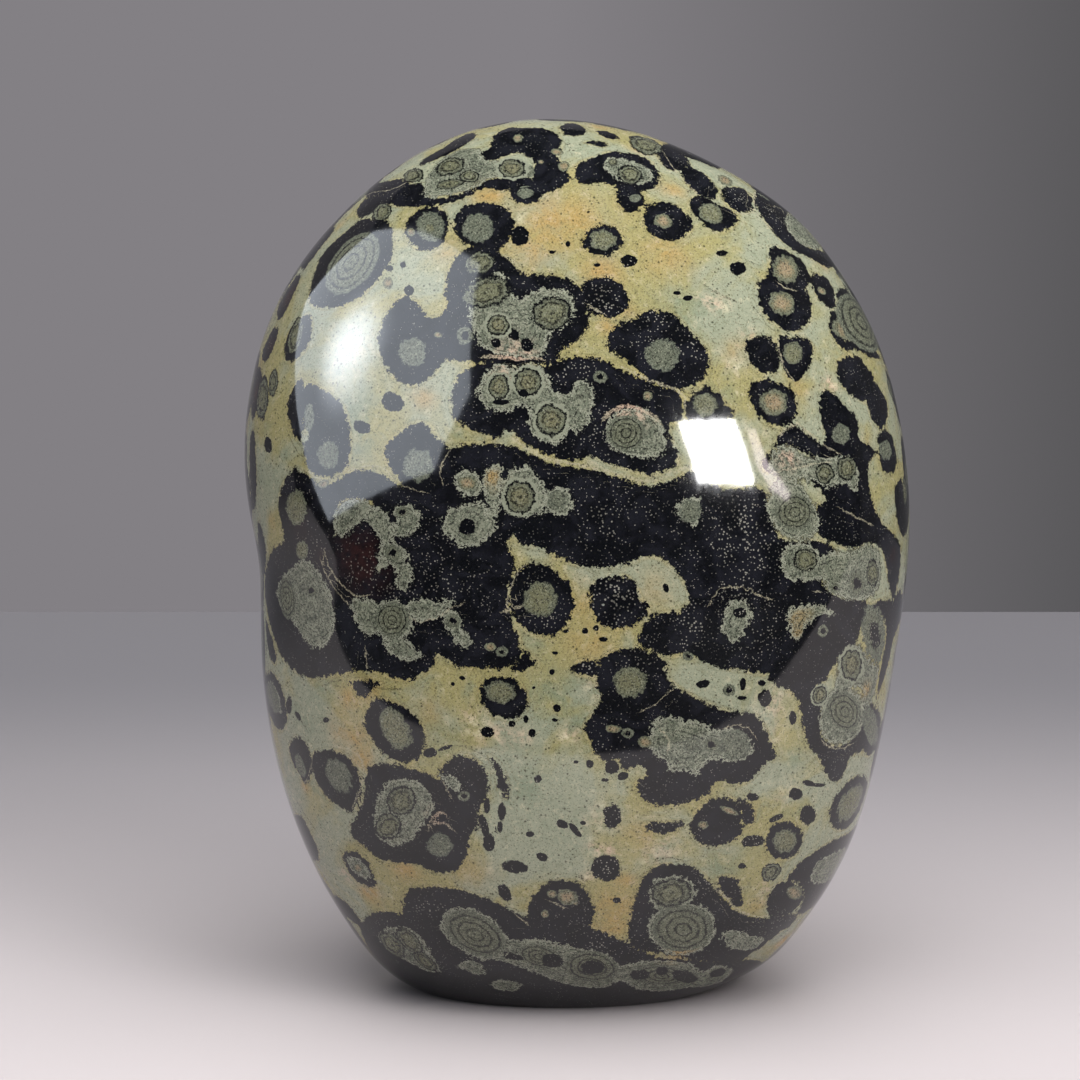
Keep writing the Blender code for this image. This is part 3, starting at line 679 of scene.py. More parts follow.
# Masses and eyes on the sides and underneath, where the photograph doesn't reach, by a seeded draw
sideGrowth = {
    "seed": 11,
    "tries": 1300,
    "radius": (3.0, 9.5),  # mm
    "spots": 220,
    "kinds": ("growthRings", "plain", "yolk", "outlined", "rosette", "tan", "plain", "growthRings"),
    "fromBack": 1.12,      # radians from the middle of the back
}
markings = {
    "halfWidthMm": 75,  # a radian round the stone from its middle, sideways
    "halfHeightMm": 103,
    "farOutside": -6.0,  # mm, the least depth that is kept outside a mass
    "layers": 3,
}


def curveThrough(a, b, c, d, t):
    # the place at t, from 0 to 1, between b and c on a smooth curve through all four
    return 0.5 * (2 * b + (c - a) * t + (2 * a - 5 * b + 4 * c - d) * t * t + (3 * b - a - 3 * c + d) * t**3)


def roundedRing(points, steps=4):
    # a closed smooth curve through given points
    ring = np.array(points, float)
    before, after, next2 = (np.roll(ring, n, axis=0) for n in (1, -1, -2))
    curve = [curveThrough(before, ring, after, next2, t) for t in np.arange(steps) / steps]
    return np.stack(curve, axis=1).reshape(-1, 2)


def roundedLine(points, steps=3):
    line = np.array(points, float)
    line = np.vstack((2 * line[0] - line[1], line, 2 * line[-1] - line[-2]))
    curve = [line[1]]
    for i in range(1, len(line) - 2):
        a, b, c, d = line[i - 1:i + 3]
        curve += [curveThrough(a, b, c, d, t) for t in np.arange(1, steps + 1) / steps]
    return np.array(curve)


def unrolled(direction, side):
    # flattens the ball round its front (side -1) or back (side 1) point, in mm
    away = np.arccos(np.clip(direction[:, 1] * side, -1, 1))
    stretch = away / np.maximum(np.hypot(direction[:, 0], direction[:, 2]), 1e-6)
    flat = np.column_stack((direction[:, 0], direction[:, 2])) * stretch[:, None]
    return flat * (markings["halfWidthMm"], markings["halfHeightMm"]), away


# finds where a pixel of the photograph lies on the unrolled stone
class Chart:
    def __init__(self, mesh, flat):
        self.mesh = mesh
        self.flat = flat
        corners = [v.co.copy() for v in mesh.vertices]
        self.tree = BVHTree.FromPolygons(corners, [tuple(p.vertices) for p in mesh.polygons])
        self.corners = corners
        self.middle = np.array((576.0, 560.0))

    def ray(self, pixel):
        half = shot["frame"] / 2
        right, down = (pixel[0] - half) / shot["focal"], (pixel[1] - half) / shot["focal"]
        way = sight + np.array((right, 0, 0)) - upward * down
        return Vector(way / np.linalg.norm(way))

    def hit(self, pixel):
        return self.tree.ray_cast(Vector(eyePlace), self.ray(pixel))

    def flatAt(self, place, face):
        used = self.mesh.polygons[face].vertices
        shares = poly_3d_calc([self.corners[v] for v in used], place)
        return sum(self.flat[v] * share for v, share in zip(used, shares))

    def find(self, pixel):
        pixel = np.array(pixel, float)
        place, _, face, _ = self.hit(pixel)
        if place is not None:
            return self.flatAt(place, face)
        # beyond the outline: from the last point seen, on round the side by the rest of the way
        inside, outside = 0.0, 1.0
        for _ in range(14):
            middle = (inside + outside) / 2
            if self.hit(self.middle + (pixel - self.middle) * middle)[0] is None:
                outside = middle
            else:
                inside = middle
        rim = self.middle + (pixel - self.middle) * inside
        place, _, face, _ = self.hit(rim)
        last = self.flatAt(place, face)
        rest = np.linalg.norm(pixel - rim) / shot["pixelsPerMm"]
        return last + last / np.linalg.norm(last) * rest * 1.5

    def frameAt(self, pixel):
        # centre and how the unrolled place changes with the pixel
        centre = self.find(pixel)
        across = (self.find((pixel[0] + 2, pixel[1])) - self.find((pixel[0] - 2, pixel[1]))) / 4
        down = (self.find((pixel[0], pixel[1] + 2)) - self.find((pixel[0], pixel[1] - 2))) / 4
        return centre, np.column_stack((across, down))


def ringDepth(points, ring):
    # depth inside a closed ring, in mm: plus inside, minus outside
    start, end = ring, np.roll(ring, -1, axis=0)
    along = end - start
    length = np.maximum((along**2).sum(1), 1e-12)
    offset = points[:, None, :] - start[None]
    share = np.clip((offset * along[None]).sum(2) / length[None], 0, 1)
    gap = np.sqrt(((offset - share[..., None] * along[None]) ** 2).sum(2)).min(1)
    px, py = points[:, 0:1], points[:, 1:2]
    crosses = (start[:, 1] > py) != (end[:, 1] > py)
    rise = np.where(abs(along[:, 1]) < 1e-12, 1e-12, along[:, 1])
    where = start[:, 0] + (py - start[:, 1]) * along[:, 0] / rise
    inside = (crosses & (px < where)).sum(1) % 2 == 1
    return np.where(inside, gap, -gap)


def deepen(field, flat, rings, held=0.0):
    # the union of rings, kept in the field as depth in mm
    margin = -markings["farOutside"]
    for ring in rings:
        near = np.all((flat > ring.min(0) - margin) & (flat < ring.max(0) + margin), axis=1)
        at = np.nonzero(near)[0]
        if len(at):
            depth = ringDepth(flat[at], ring)
            if np.ndim(held):
                depth = depth - held[at]
            field[at] = np.maximum(field[at], depth)


def linePlace(points, line):
    # signed distance to an open line, and how far from its ends
    start, end = line[:-1], line[1:]
    along = end - start
    length = np.sqrt((along**2).sum(1))
    offset = points[:, None, :] - start[None]
    share = np.clip((offset * along[None]).sum(2) / length[None] ** 2, 0, 1)
    gap = np.sqrt(((offset - share[..., None] * along[None]) ** 2).sum(2))
    nearest = gap.argmin(1)
    row = np.arange(len(points))
    side = np.sign(along[nearest, 0] * offset[row, nearest, 1] - along[nearest, 1] * offset[row, nearest, 0])
    walked = np.concatenate(([0], np.cumsum(length)))
    run = walked[nearest] + share[row, nearest] * length[nearest]
    return gap[row, nearest] * side, gap[row, nearest], np.minimum(run, walked[-1] - run)


def spreadSpots(flat, spots, scale):
    amount = np.zeros(len(flat))
    for centre, radius, strength in spots:
        gap = np.linalg.norm(flat - centre, axis=1) / (radius * scale)
        amount = np.maximum(amount, strength * np.exp(-gap**2 * 0.9))
    return amount


def sortEyes(eyes):
    # neighbours go to different layers, so that each keeps its own crisp ring
    layers = [[] for _ in range(markings["layers"])]
    for eye in sorted(eyes, key=lambda e: -e["reach"]):
        crowding = []
        for layer in layers:
            worst = 0.0
            for other in layer:
                gap = np.linalg.norm(eye["centre"] - other["centre"])
                worst = max(worst, (eye["reach"] + other["reach"]) * 1.45 + 1.6 - gap)
            crowding.append(worst)
        layers[int(np.argmin(crowding))].append(eye)
    return layers


def tangents(normal, turn):
    side = np.cross(normal, (0.31, 0.52, 0.79))
    side /= np.linalg.norm(side)
    up = np.cross(normal, side)
    return side * math.cos(turn) + up * math.sin(turn), up * math.cos(turn) - side * math.sin(turn)


def growSides(mesh, dark, awayBack):
    # fills what neither side reaches: gives the new depths and the eyes that go with them
    body = np.array([v.co for v in mesh.vertices]) * 1000
    outwards = np.array([v.normal for v in mesh.vertices])
    sightLine = eyePlace * 1000 - body
    facing = (outwards * sightLine).sum(1) / np.linalg.norm(sightLine, axis=1)
    hidden = np.nonzero((facing < 0.10) & (awayBack > sideGrowth["fromBack"]))[0]
    draw = np.random.default_rng(sideGrowth["seed"])
    eyesMade = []
    for n in range(sideGrowth["tries"] + sideGrowth["spots"]):
        at = draw.choice(hidden)
        radius = draw.uniform(*sideGrowth["radius"])
        single = n >= sideGrowth["tries"]
        if dark[at] > (-1.0 if single else -0.5 - radius * 0.42):
            continue
        if single:
            size = draw.uniform(0.4, 1.3)
            turn, narrow = draw.uniform(0, 3), size * draw.uniform(0.6, 1)
            eyesMade.append((body[at], outwards[at], turn, size, narrow, "spot"))
            continue
        turn = draw.uniform(0, 2 * math.pi)
        lobes = [(body[at], radius)]
        for _ in range(draw.integers(0, 4)):
            way = tangents(outwards[at], draw.uniform(0, 2 * math.pi))[0]
            centre = body[at] + way * radius * draw.uniform(0.8, 1.35)
            lobes.append((centre, radius * draw.uniform(0.45, 0.9)))
        for centre, size in lobes:
            depth = size - np.linalg.norm(body - centre, axis=1) - np.maximum(facing - 0.16, 0) * 90
            dark = np.maximum(dark, np.maximum(depth, markings["farOutside"]))
            kind = sideGrowth["kinds"][draw.integers(0, len(sideGrowth["kinds"]))]
            heart = size * draw.uniform(0.34, 0.58)
            if size > 2.2:
                eyesMade.append((centre, outwards[at], turn, heart, heart * draw.uniform(0.6, 1), kind))
    return body, facing, dark, eyesMade


def markStone(piece):
    mesh = piece.data
    direction = np.zeros(len(mesh.vertices) * 3, np.float32)
    mesh.attributes["towards"].data.foreach_get("vector", direction)
    direction = direction.reshape(-1, 3).astype(float)
    direction /= np.maximum(np.linalg.norm(direction, axis=1), 1e-9)[:, None]
    front, awayFront = unrolled(direction, -1)
    back, awayBack = unrolled(direction, 1)
    chart = Chart(mesh, front)

    size = np.diag((markings["halfWidthMm"], markings["halfHeightMm"]))
    c, s = math.cos(farSide["turn"]), math.sin(farSide["turn"])
    turnBack = size @ np.array(((-c, -s), (-s, c))) @ np.linalg.inv(size)

    def onBack(points):
        return points @ turnBack.T

    darkRings = [np.array([chart.find(p) for p in roundedRing(points)]) for points in darkOutlines.values()]
    paleRings = [np.array([chart.find(p) for p in roundedRing(points)]) for points in paleOutlines.values()]
    print("outlines cast:", len(darkRings), "dark,", len(paleRings), "pale")

    held = np.maximum(0, awayBack - farSide["reach"]) * farSide["fade"]
    dark = np.full(len(front), markings["farOutside"])
    pale = np.full(len(front), markings["farOutside"])
    deepen(dark, front, darkRings)
    deepen(pale, front, paleRings)
    deepen(dark, back, [onBack(ring) for ring in darkRings], held)
    deepen(pale, back, [onBack(ring) for ring in paleRings], held)

    eyes = []
    for kind, seen in eyesSeen.items():
        for x, y, longHalf, shortHalf, tilt, surround in seen:
            centre, perPixel = chart.frameAt((x, y))
            tilt = math.radians(tilt)
            axes = np.array(((math.cos(tilt) * longHalf, math.sin(tilt) * shortHalf),
                             (-math.sin(tilt) * longHalf, math.cos(tilt) * shortHalf)))
            shape = perPixel @ axes
            eye = {"centre": centre, "shape": shape, "surround": surround, "look": eyeLooks[kind]}
            eye["far"] = False
            eyes.append(eye)
            if np.linalg.norm(centre / (markings["halfWidthMm"], markings["halfHeightMm"])) < 1.42:
                eyes.append({**eye, "centre": onBack(centre), "shape": turnBack @ shape, "far": True})
    print("eyes cast:", len(eyes))

    for eye in eyes:
        eye["size"] = np.linalg.norm(eye["shape"], axis=0)
        eye["reach"] = eye["size"].max() * (1.12 + eye["look"][3])
    for side, flat in ((False, front), (True, back)):
        for eye in (e for e in eyes if e["far"] == side and e["surround"]):
            local = (flat - eye["centre"]) @ np.linalg.inv(eye["shape"]).T
            depth = (eye["surround"] - np.linalg.norm(local, axis=1)) * eye["size"].min()
            dark = np.maximum(dark, np.where(depth > markings["farOutside"], depth, markings["farOutside"]))

    body, facing, dark, sideEyes = growSides(mesh, dark, awayBack)
    count = len(front)
    layersMade = [(np.full((count, 3), 9.0), np.zeros((count, 4))) for _ in range(markings["layers"])]
    for side, flat in ((False, front), (True, back)):
        for number, layer in enumerate(sortEyes([e for e in eyes if e["far"] == side])):
            place, look = layersMade[number]
            for eye in layer:
                near = np.nonzero(np.linalg.norm(flat - eye["centre"], axis=1) < eye["reach"] * 2 + 3)[0]
                local = (flat[near] - eye["centre"]) @ np.linalg.inv(eye["shape"]).T
                distance = np.linalg.norm(local, axis=1)
                closer = distance / (1.12 + eye["look"][3]) < place[near, 2] / (1.12 + look[near, 3])
                at = near[closer]
                place[at] = np.column_stack((local[closer], distance[closer]))
                look[at] = eye["look"]
    for n, (centre, normal, turn, longHalf, shortHalf, kind) in enumerate(sideEyes):
        place, look = layersMade[n % markings["layers"]]
        offset = body - centre
        near = np.nonzero((np.linalg.norm(offset, axis=1) < longHalf * 2.2 + 2) & (facing < 0.24))[0]
        axes = tangents(normal, turn)
        local = np.column_stack((offset[near] @ axes[0] / longHalf, offset[near] @ axes[1] / shortHalf))
        distance = np.linalg.norm(local, axis=1)
        closer = distance < place[near, 2]
        at = near[closer]
        place[at] = np.column_stack((local[closer], distance[closer]))
        look[at] = eyeLooks[kind]
    print("side growth:", len(sideEyes), "eyes")
    for number, (place, look) in enumerate(layersMade):
        storeVector(mesh, f"eyePlace{number}", place)
        storeColour(mesh, f"eyeLook{number}", look)

    veinSide = np.full(len(front), 3.0)
    veinWidth = np.zeros(len(front))
    nearestVein = np.full(len(front), 2.6)
    for width, points in veinsSeen:
        line = np.array([chart.find(p) for p in roundedLine(points)])
        for flat, way in ((front, line), (back, onBack(line))):
            if way is not line and np.linalg.norm(way / (75, 103), axis=1).max() > 1.45:
                continue
            near = np.nonzero(np.all((flat > way.min(0) - 3) & (flat < way.max(0) + 3), axis=1))[0]
            if not len(near):
                continue
            side, gap, run = linePlace(flat[near], way)
            closer = gap < nearestVein[near]
            at = near[closer]
            nearestVein[at] = gap[closer]
            veinSide[at] = side[closer]
            fade = np.clip(run[closer] / 1.5, 0, 1) * np.clip((2.4 - gap[closer]) / 0.8, 0, 1)
            veinWidth[at] = width * fade

    storeNumber(mesh, "darkDepth", dark)
    storeNumber(mesh, "paleDepth", pale)
    storeNumber(mesh, "veinSide", veinSide)
    storeNumber(mesh, "veinWidth", veinWidth)

    perMm = 1 / shot["pixelsPerMm"]
    channels = []
    for spots in (*tintsSeen.values(), saltSeen):
        cast = [(chart.find((x, y)), radius, strength) for x, y, radius, strength in spots]
        near = spreadSpots(front, cast, perMm)
        castBack = [(onBack(place), radius, strength) for place, radius, strength in cast]
        far = spreadSpots(back, castBack, perMm)
        channels.append(np.where(awayBack < farSide["reach"], np.maximum(near, far), near))
    storeColour(mesh, "tints", np.column_stack(channels[:4]))
    storeNumber(mesh, "salt", channels[4])
    mesh.attributes.remove(mesh.attributes["towards"])
    print("markings drawn:", int((dark > 0).sum()), "dark points")


def shade(red, green, blue):
    # screen colour, 0 to 255, to the values Blender's sockets take
    def linear(c):
        c /= 255
        return c / 12.92 if c < 0.04045 else ((c + 0.055) / 1.055) ** 2.4
    return (linear(red), linear(green), linear(blue), 1)


jasper = {
    "sage": shade(147, 152, 130),
    "khaki": shade(150, 144, 98),
    "green": shade(119, 131, 108),
    "ochre": shade(168, 138, 84),
    "rust": shade(150, 92, 50),
    "cream": shade(205, 196, 166),
    "pink": shade(198, 172, 150),
    "black": shade(12, 13, 17),
    "slate": shade(26, 27, 33),
    "maroon": shade(44, 26, 26),
    "grain": shade(142, 140, 130),
    "island": shade(92, 98, 84),
    "islandPale": shade(132, 136, 118),
    "eyeGrey": shade(92, 98, 87),
    "eyeYellow": shade(108, 109, 84),
    "eyeTan": shade(150, 132, 104),
    "roughness": 0.06,
    "indexOfRefraction": 1.54,
}


def jasperFinish():
    material = bpy.data.materials.new("polishedJasper")
    material.use_nodes = True
    tree = material.node_tree
    nodes, links = tree.nodes, tree.links
    surface = nodes["Principled BSDF"]

    def feed(socket, value):
        if isinstance(value, bpy.types.NodeSocket):
            links.new(value, socket)
        else:
            socket.default_value = value

    def sums(kind, a, b=None, c=None, clamp=False):
        node = nodes.new("ShaderNodeMath")
        node.operation, node.use_clamp = kind, clamp
        for socket, value in zip(node.inputs, (a, b, c)):
            if value is not None:
                feed(socket, value)
        return node.outputs[0]

    def between(value, low, high, toLow=0.0, toHigh=1.0):
        node = nodes.new("ShaderNodeMapRange")
        node.interpolation_type = "SMOOTHSTEP"
        for socket, given in zip(node.inputs, (value, low, high, toLow, toHigh)):
            feed(socket, given)
        return node.outputs[0]

    def over(amount, under, top):
        node = nodes.new("ShaderNodeMix")
        node.data_type = "RGBA"
        feed(node.inputs[0], amount)
        feed(node.inputs[6], under)
        feed(node.inputs[7], top)
        return node.outputs[2]

    def stored(name):
        node = nodes.new("ShaderNodeAttribute")
        node.attribute_name = name
        return node.outputs

    place = nodes.new("ShaderNodeTexCoord")
    inMm = nodes.new("ShaderNodeVectorMath")
    inMm.operation = "SCALE"
    feed(inMm.inputs[0], place.outputs["Object"])
    inMm.inputs["Scale"].default_value = 1000

    def cloud(scale, detail=3.0, rough=0.55, warp=0.0):
        # noise with features about 1/scale mm wide
        node = nodes.new("ShaderNodeTexNoise")
        feed(node.inputs["Vector"], inMm.outputs[0])
        node.inputs["Scale"].default_value = scale
        node.inputs["Detail"].default_value = detail
        node.inputs["Roughness"].default_value = rough
        node.inputs["Distortion"].default_value = warp
        return node.outputs["Fac"]

    def grains(scale, spread):
        node = nodes.new("ShaderNodeTexVoronoi")
        feed(node.inputs["Vector"], inMm.outputs[0])
        node.inputs["Scale"].default_value = scale
        node.inputs["Randomness"].default_value = spread
        return node.outputs

    tints = stored("tints")
    split = nodes.new("ShaderNodeSeparateColor")
    feed(split.inputs[0], tints["Color"])
    ochreAmount, greenAmount, creamAmount = split.outputs
    maroonAmount = tints["Alpha"]
    salt = stored("salt")["Fac"]
    dark = stored("darkDepth")["Fac"]
    pale = stored("paleDepth")["Fac"]

    broad = cloud(0.045, 4, 0.6, 0.6)
    patchy = cloud(0.16, 5, 0.62, 0.8)
    mottle = cloud(0.55, 6, 0.65)
    fine = cloud(2.4, 4, 0.7)
    ragged = cloud(0.85, 5, 0.68)
    dust = cloud(2.9, 3, 0.7)
    dots = grains(1.5, 1.0)["Distance"]
    crumbs = grains(0.75, 1.0)["Distance"]
    ragged2 = cloud(0.30, 3, 0.6)

    # ground: sage to khaki, with ochre, green and cream where they are drawn
    ground = over(between(broad, 0.42, 0.60), jasper["sage"], jasper["khaki"])
    green = sums("MULTIPLY", greenAmount, between(patchy, 0.30, 0.62), clamp=True)
    ground = over(green, ground, jasper["green"])
    ground = over(between(patchy, 0.56, 0.74, 0.0, 0.55), ground, jasper["green"])
    ochre = sums("MULTIPLY", ochreAmount, between(patchy, 0.34, 0.60, 0.35, 1.0), clamp=True)
    ground = over(ochre, ground, jasper["ochre"])
    rust = sums("MULTIPLY", ochreAmount, between(mottle, 0.60, 0.72, 0.0, 0.9), clamp=True)
    ground = over(rust, ground, jasper["rust"])
    cream = sums("MULTIPLY", creamAmount, between(mottle, 0.40, 0.62), clamp=True)
    ground = over(cream, ground, over(between(patchy, 0.4, 0.6), jasper["cream"], jasper["pink"]))
    ground = over(between(mottle, 0.52, 0.78, 0.0, 0.55), ground, jasper["cream"])
    ground = over(between(mottle, 0.46, 0.24, 0.0, 0.55), ground, shade(104, 106, 80))

    # growth bands that follow the edges of the masses
    bandPlace = sums("ADD", dark, sums("MULTIPLY", ragged2, 2.0))
    band = sums("SINE", sums("MULTIPLY", bandPlace, 4.2))
    nearEdge = between(dark, -4.0, -0.3)
    ground = over(sums("MULTIPLY", between(band, 0.2, 1.0, 0.0, 0.30), nearEdge), ground, shade(98, 96, 66))
    rim = sums("MULTIPLY", between(dark, -1.0, -0.15), between(patchy, 0.42, 0.60), clamp=True)
    ground = over(sums("MULTIPLY", rim, 0.40), ground, shade(178, 164, 112))
    ground = over(between(fine, 0.46, 0.34, 0.0, 0.65), ground, shade(74, 76, 54))
    ground = over(between(dust, 0.57, 0.68, 0.0, 0.40), ground, jasper["cream"])
    shed = sums("MULTIPLY", between(dust, 0.42, 0.32), between(dark, -2.2, -0.2))
    ground = over(shed, ground, shade(52, 46, 34))

    # small dark specks in the ground
    speck = sums("MULTIPLY", between(crumbs, 0.22, 0.14), between(ragged2, 0.42, 0.54), clamp=True)
    ground = over(sums("MULTIPLY", speck, 0.75), ground, shade(44, 42, 30))
    ground = over(between(dots, 0.24, 0.14, 0.0, 0.55), ground, shade(78, 76, 50))

    # dark masses
    crumble = sums("ADD", sums("MULTIPLY_ADD", ragged, 4.2, -2.1), sums("MULTIPLY_ADD", fine, 2.4, -1.2))
    edge = sums("ADD", dark, crumble)
    darkBody = over(between(patchy, 0.42, 0.62), jasper["black"], jasper["slate"])
    maroon = sums("MULTIPLY", maroonAmount, between(mottle, 0.30, 0.60), clamp=True)
    darkBody = over(maroon, darkBody, jasper["maroon"])
    dusty = sums("ADD", sums("MULTIPLY", salt, 0.13), between(ragged2, 0.42, 0.64, 0.0, 0.06))
    dotSize = sums("MULTIPLY_ADD", dusty, 1.2, 0.15)
    grainAmount = between(dots, dotSize, sums("SUBTRACT", dotSize, 0.09))
    grainSeen = sums("MULTIPLY", grainAmount, between(patchy, 0.36, 0.62, 0.30, 0.90))
    darkBody = over(grainSeen, darkBody, jasper["grain"])
    darkBody = over(between(edge, 0.7, 0.1, 0.0, 0.7), darkBody, jasper["black"])
    colour = over(between(edge, -0.06, 0.06), ground, darkBody)

    # pale islands inside the masses, streaked along their own edges
    paleEdge = sums("ADD", pale, sums("MULTIPLY", crumble, 1.2))
    isle = over(between(mottle, 0.36, 0.62), jasper["island"], jasper["islandPale"])
    isle = over(ochre, isle, jasper["ochre"])
    isle = over(cream, isle, jasper["pink"])
    isleBand = sums("SINE", sums("MULTIPLY", sums("ADD", pale, sums("MULTIPLY", ragged2, 1.6)), 5.5))
    isleLine = sums("MULTIPLY", between(isleBand, 0.30, 1.0, 0.0, 0.8), between(ragged, 0.42, 0.60))
    isle = over(isleLine, isle, shade(26, 28, 26))
    isle = over(between(fine, 0.48, 0.60, 0.0, 0.85), isle, shade(24, 26, 25))
    isle = over(between(dust, 0.54, 0.66, 0.0, 0.7), isle, shade(168, 170, 150))
    isle = over(between(paleEdge, 0.60, 0.20, 0.0, 0.75), isle, shade(164, 167, 148))
    colour = over(between(paleEdge, -0.75, -0.35, 0.0, 0.8), colour, jasper["black"])
    colour = over(between(paleEdge, -0.06, 0.06), colour, isle)

    # thin healed cracks
    veinSide = stored("veinSide")["Fac"]
    veinWidth = stored("veinWidth")["Fac"]
    wander = sums("ADD", veinSide, sums("MULTIPLY_ADD", ragged, 2.2, -1.1))
    reach = sums("ABSOLUTE", wander)
    width = sums("MULTIPLY", sums("ABSOLUTE", veinWidth), between(mottle, 0.3, 0.6, 0.35, 0.95))
    inVein = sums("GREATER_THAN", sums("SUBTRACT", width, reach), 0.0)
    paleVein = over(creamAmount, shade(170, 164, 140), jasper["pink"])
    veinColour = over(between(veinWidth, -0.05, 0.05), shade(30, 26, 20), paleVein)
    colour = over(sums("MULTIPLY", inVein, between(dust, 0.42, 0.58, 0.10, 0.80)), colour, veinColour)

    # eyes, one layer over the other
    wobble = sums("MULTIPLY_ADD", cloud(0.45, 4, 0.6), 0.55, -0.925)
    wobble = sums("MULTIPLY_ADD", ragged, 0.8, wobble)
    wobble = sums("MULTIPLY_ADD", dust, 0.5, wobble)
    for number in reversed(range(markings["layers"])):
        at = stored(f"eyePlace{number}")["Vector"]
        look = stored(f"eyeLook{number}")
        parts = nodes.new("ShaderNodeSeparateXYZ")
        feed(parts.inputs[0], at)
        flatPart = nodes.new("ShaderNodeCombineXYZ")
        feed(flatPart.inputs[0], parts.outputs[0])
        feed(flatPart.inputs[1], parts.outputs[1])
        away = nodes.new("ShaderNodeVectorMath")
        away.operation = "LENGTH"
        feed(away.inputs[0], flatPart.outputs[0])
        looks = nodes.new("ShaderNodeSeparateColor")
        feed(looks.inputs[0], look["Color"])
        tone, heart, spacing = looks.outputs
        halo = look["Alpha"]
        ringed = sums("MULTIPLY", sums("GREATER_THAN", spacing, 0.1), sums("LESS_THAN", spacing, 0.4))
        steady = sums("MULTIPLY_ADD", ringed, -0.74, 1.0)
        radius = sums("MULTIPLY_ADD", wobble, steady, away.outputs["Value"])
        guard = sums("LESS_THAN", parts.outputs[2], sums("ADD", 1.42, halo))
        disc = between(radius, 1.03, 0.97)
        eye = over(between(tone, 0.0, 0.5), jasper["eyeGrey"], jasper["eyeYellow"])
        tan = sums("MULTIPLY", between(tone, 0.55, 1.0), between(radius, 0.9, 0.2))
        eye = over(tan, eye, jasper["eyeTan"])
        eye = over(between(radius, 0.55, 1.0, 0.0, 0.6), eye, jasper["eyeGrey"])
        eye = over(between(mottle, 0.50, 0.72, 0.0, 0.5), eye, jasper["islandPale"])
        eye = over(between(fine, 0.47, 0.60, 0.0, 0.85), eye, shade(30, 32, 29))
        eye = over(between(dust, 0.54, 0.66, 0.0, 0.6), eye, shade(166, 168, 146))
        beat = sums("FRACT", sums("DIVIDE", radius, sums("MAXIMUM", spacing, 0.05)))
        line = between(sums("ABSOLUTE", sums("SUBTRACT", beat, 0.5)), 0.30, 0.44)
        line = sums("MULTIPLY", line, between(spacing, 0.05, 0.1))
        eye = over(sums("MULTIPLY", line, between(ragged, 0.35, 0.55, 0.35, 0.9)), eye, shade(14, 15, 17))
        inHeart = between(radius, heart, sums("SUBTRACT", heart, 0.10))
        heartColour = over(grainAmount, jasper["black"], jasper["grain"])
        eye = over(sums("MULTIPLY", inHeart, sums("GREATER_THAN", heart, 0.05)), eye, heartColour)
        outline = sums("MULTIPLY", between(radius, 1.20, 1.14), between(spacing, 0.4, 0.5))
        inHalo = between(radius, sums("ADD", halo, 1.0), sums("ADD", halo, 0.94))
        inHalo = sums("MULTIPLY", inHalo, sums("GREATER_THAN", halo, 0.1))
        colour = over(sums("MULTIPLY", inHalo, guard), colour, jasper["islandPale"])
        colour = over(sums("MULTIPLY", outline, guard), colour, jasper["black"])
        colour = over(sums("MULTIPLY", disc, guard), colour, eye)

    # the whole is dusted by a very fine grain
    colour = over(between(fine, 0.30, 0.50, 0.22, 0.0), colour, shade(40, 42, 34))
    feed(surface.inputs["Base Color"], colour)
    polish = jasper["roughness"]
    feed(surface.inputs["Roughness"], between(mottle, 0.3, 0.7, polish * 0.8, polish * 1.4))
    surface.inputs["IOR"].default_value = jasper["indexOfRefraction"]
    wave = nodes.new("ShaderNodeBump")
    wave.inputs["Strength"].default_value = 0.05
    wave.inputs["Distance"].default_value = 0.0004
    feed(wave.inputs["Height"], cloud(0.12, 2, 0.5))
    feed(surface.inputs["Normal"], wave.outputs[0])
    return material


# Studio: a floor with painted shade, a backdrop that glows with painted light and shade, a dark card of
# painted shade seen only in reflections, two reflected panels and the lamps that light the stone
studio = {
    "floor": {"left": -1.2, "right": 1.2, "front": -1.0, "back": 0.52},
    "paintedShadeCardFrom": -0.19,      # in front of this the stone mirrors no pale floor but a dark card of painted shade
    "wallRadius": 2.4,
    "windowCorners": [(679, 420), (736, 422), (755, 485), (697, 482)],
    "streakCorners": [(749, 430), (757, 430), (766, 462), (790, 494), (788, 501), (772, 490), (757, 465)],
    "windowDistance": 1.1,
    "softboxCorners": [(372, 232), (478, 262), (470, 395), (432, 470), (330, 522), (300, 430), (306, 300)],
    "softboxDistance": 0.9,
    "hotCentre": (350, 345),
}


def paintStage(name, colour, roughness=0.8, glow=0.0):
    material = bpy.data.materials.new(name)
    material.use_nodes = True
    surface = material.node_tree.nodes["Principled BSDF"]
    surface.inputs["Base Color"].default_value = colour
    surface.inputs["Roughness"].default_value = roughness
    surface.inputs["Specular IOR Level"].default_value = 0.1
    if glow:
        surface.inputs["Emission Color"].default_value = colour
        surface.inputs["Emission Strength"].default_value = glow
    return material


def addSheet(name, corners, material):
    mesh = bpy.data.meshes.new(name)
    mesh.from_pydata([tuple(c) for c in corners], [], [tuple(range(len(corners)))])
    mesh.materials.append(material)
    sheet = bpy.data.objects.new(name, mesh)
    bpy.context.scene.collection.objects.link(sheet)
    return sheet


def onlyMirrored(sheet):
    sheet.visible_camera = sheet.visible_diffuse = sheet.visible_shadow = False


def mirroredPlace(chart, pixel, distance):
    place, normal, _, _ = chart.hit(pixel)
    way = chart.ray(pixel)
    back = way - normal * (2 * way.dot(normal))
    return place + back.normalized() * distance


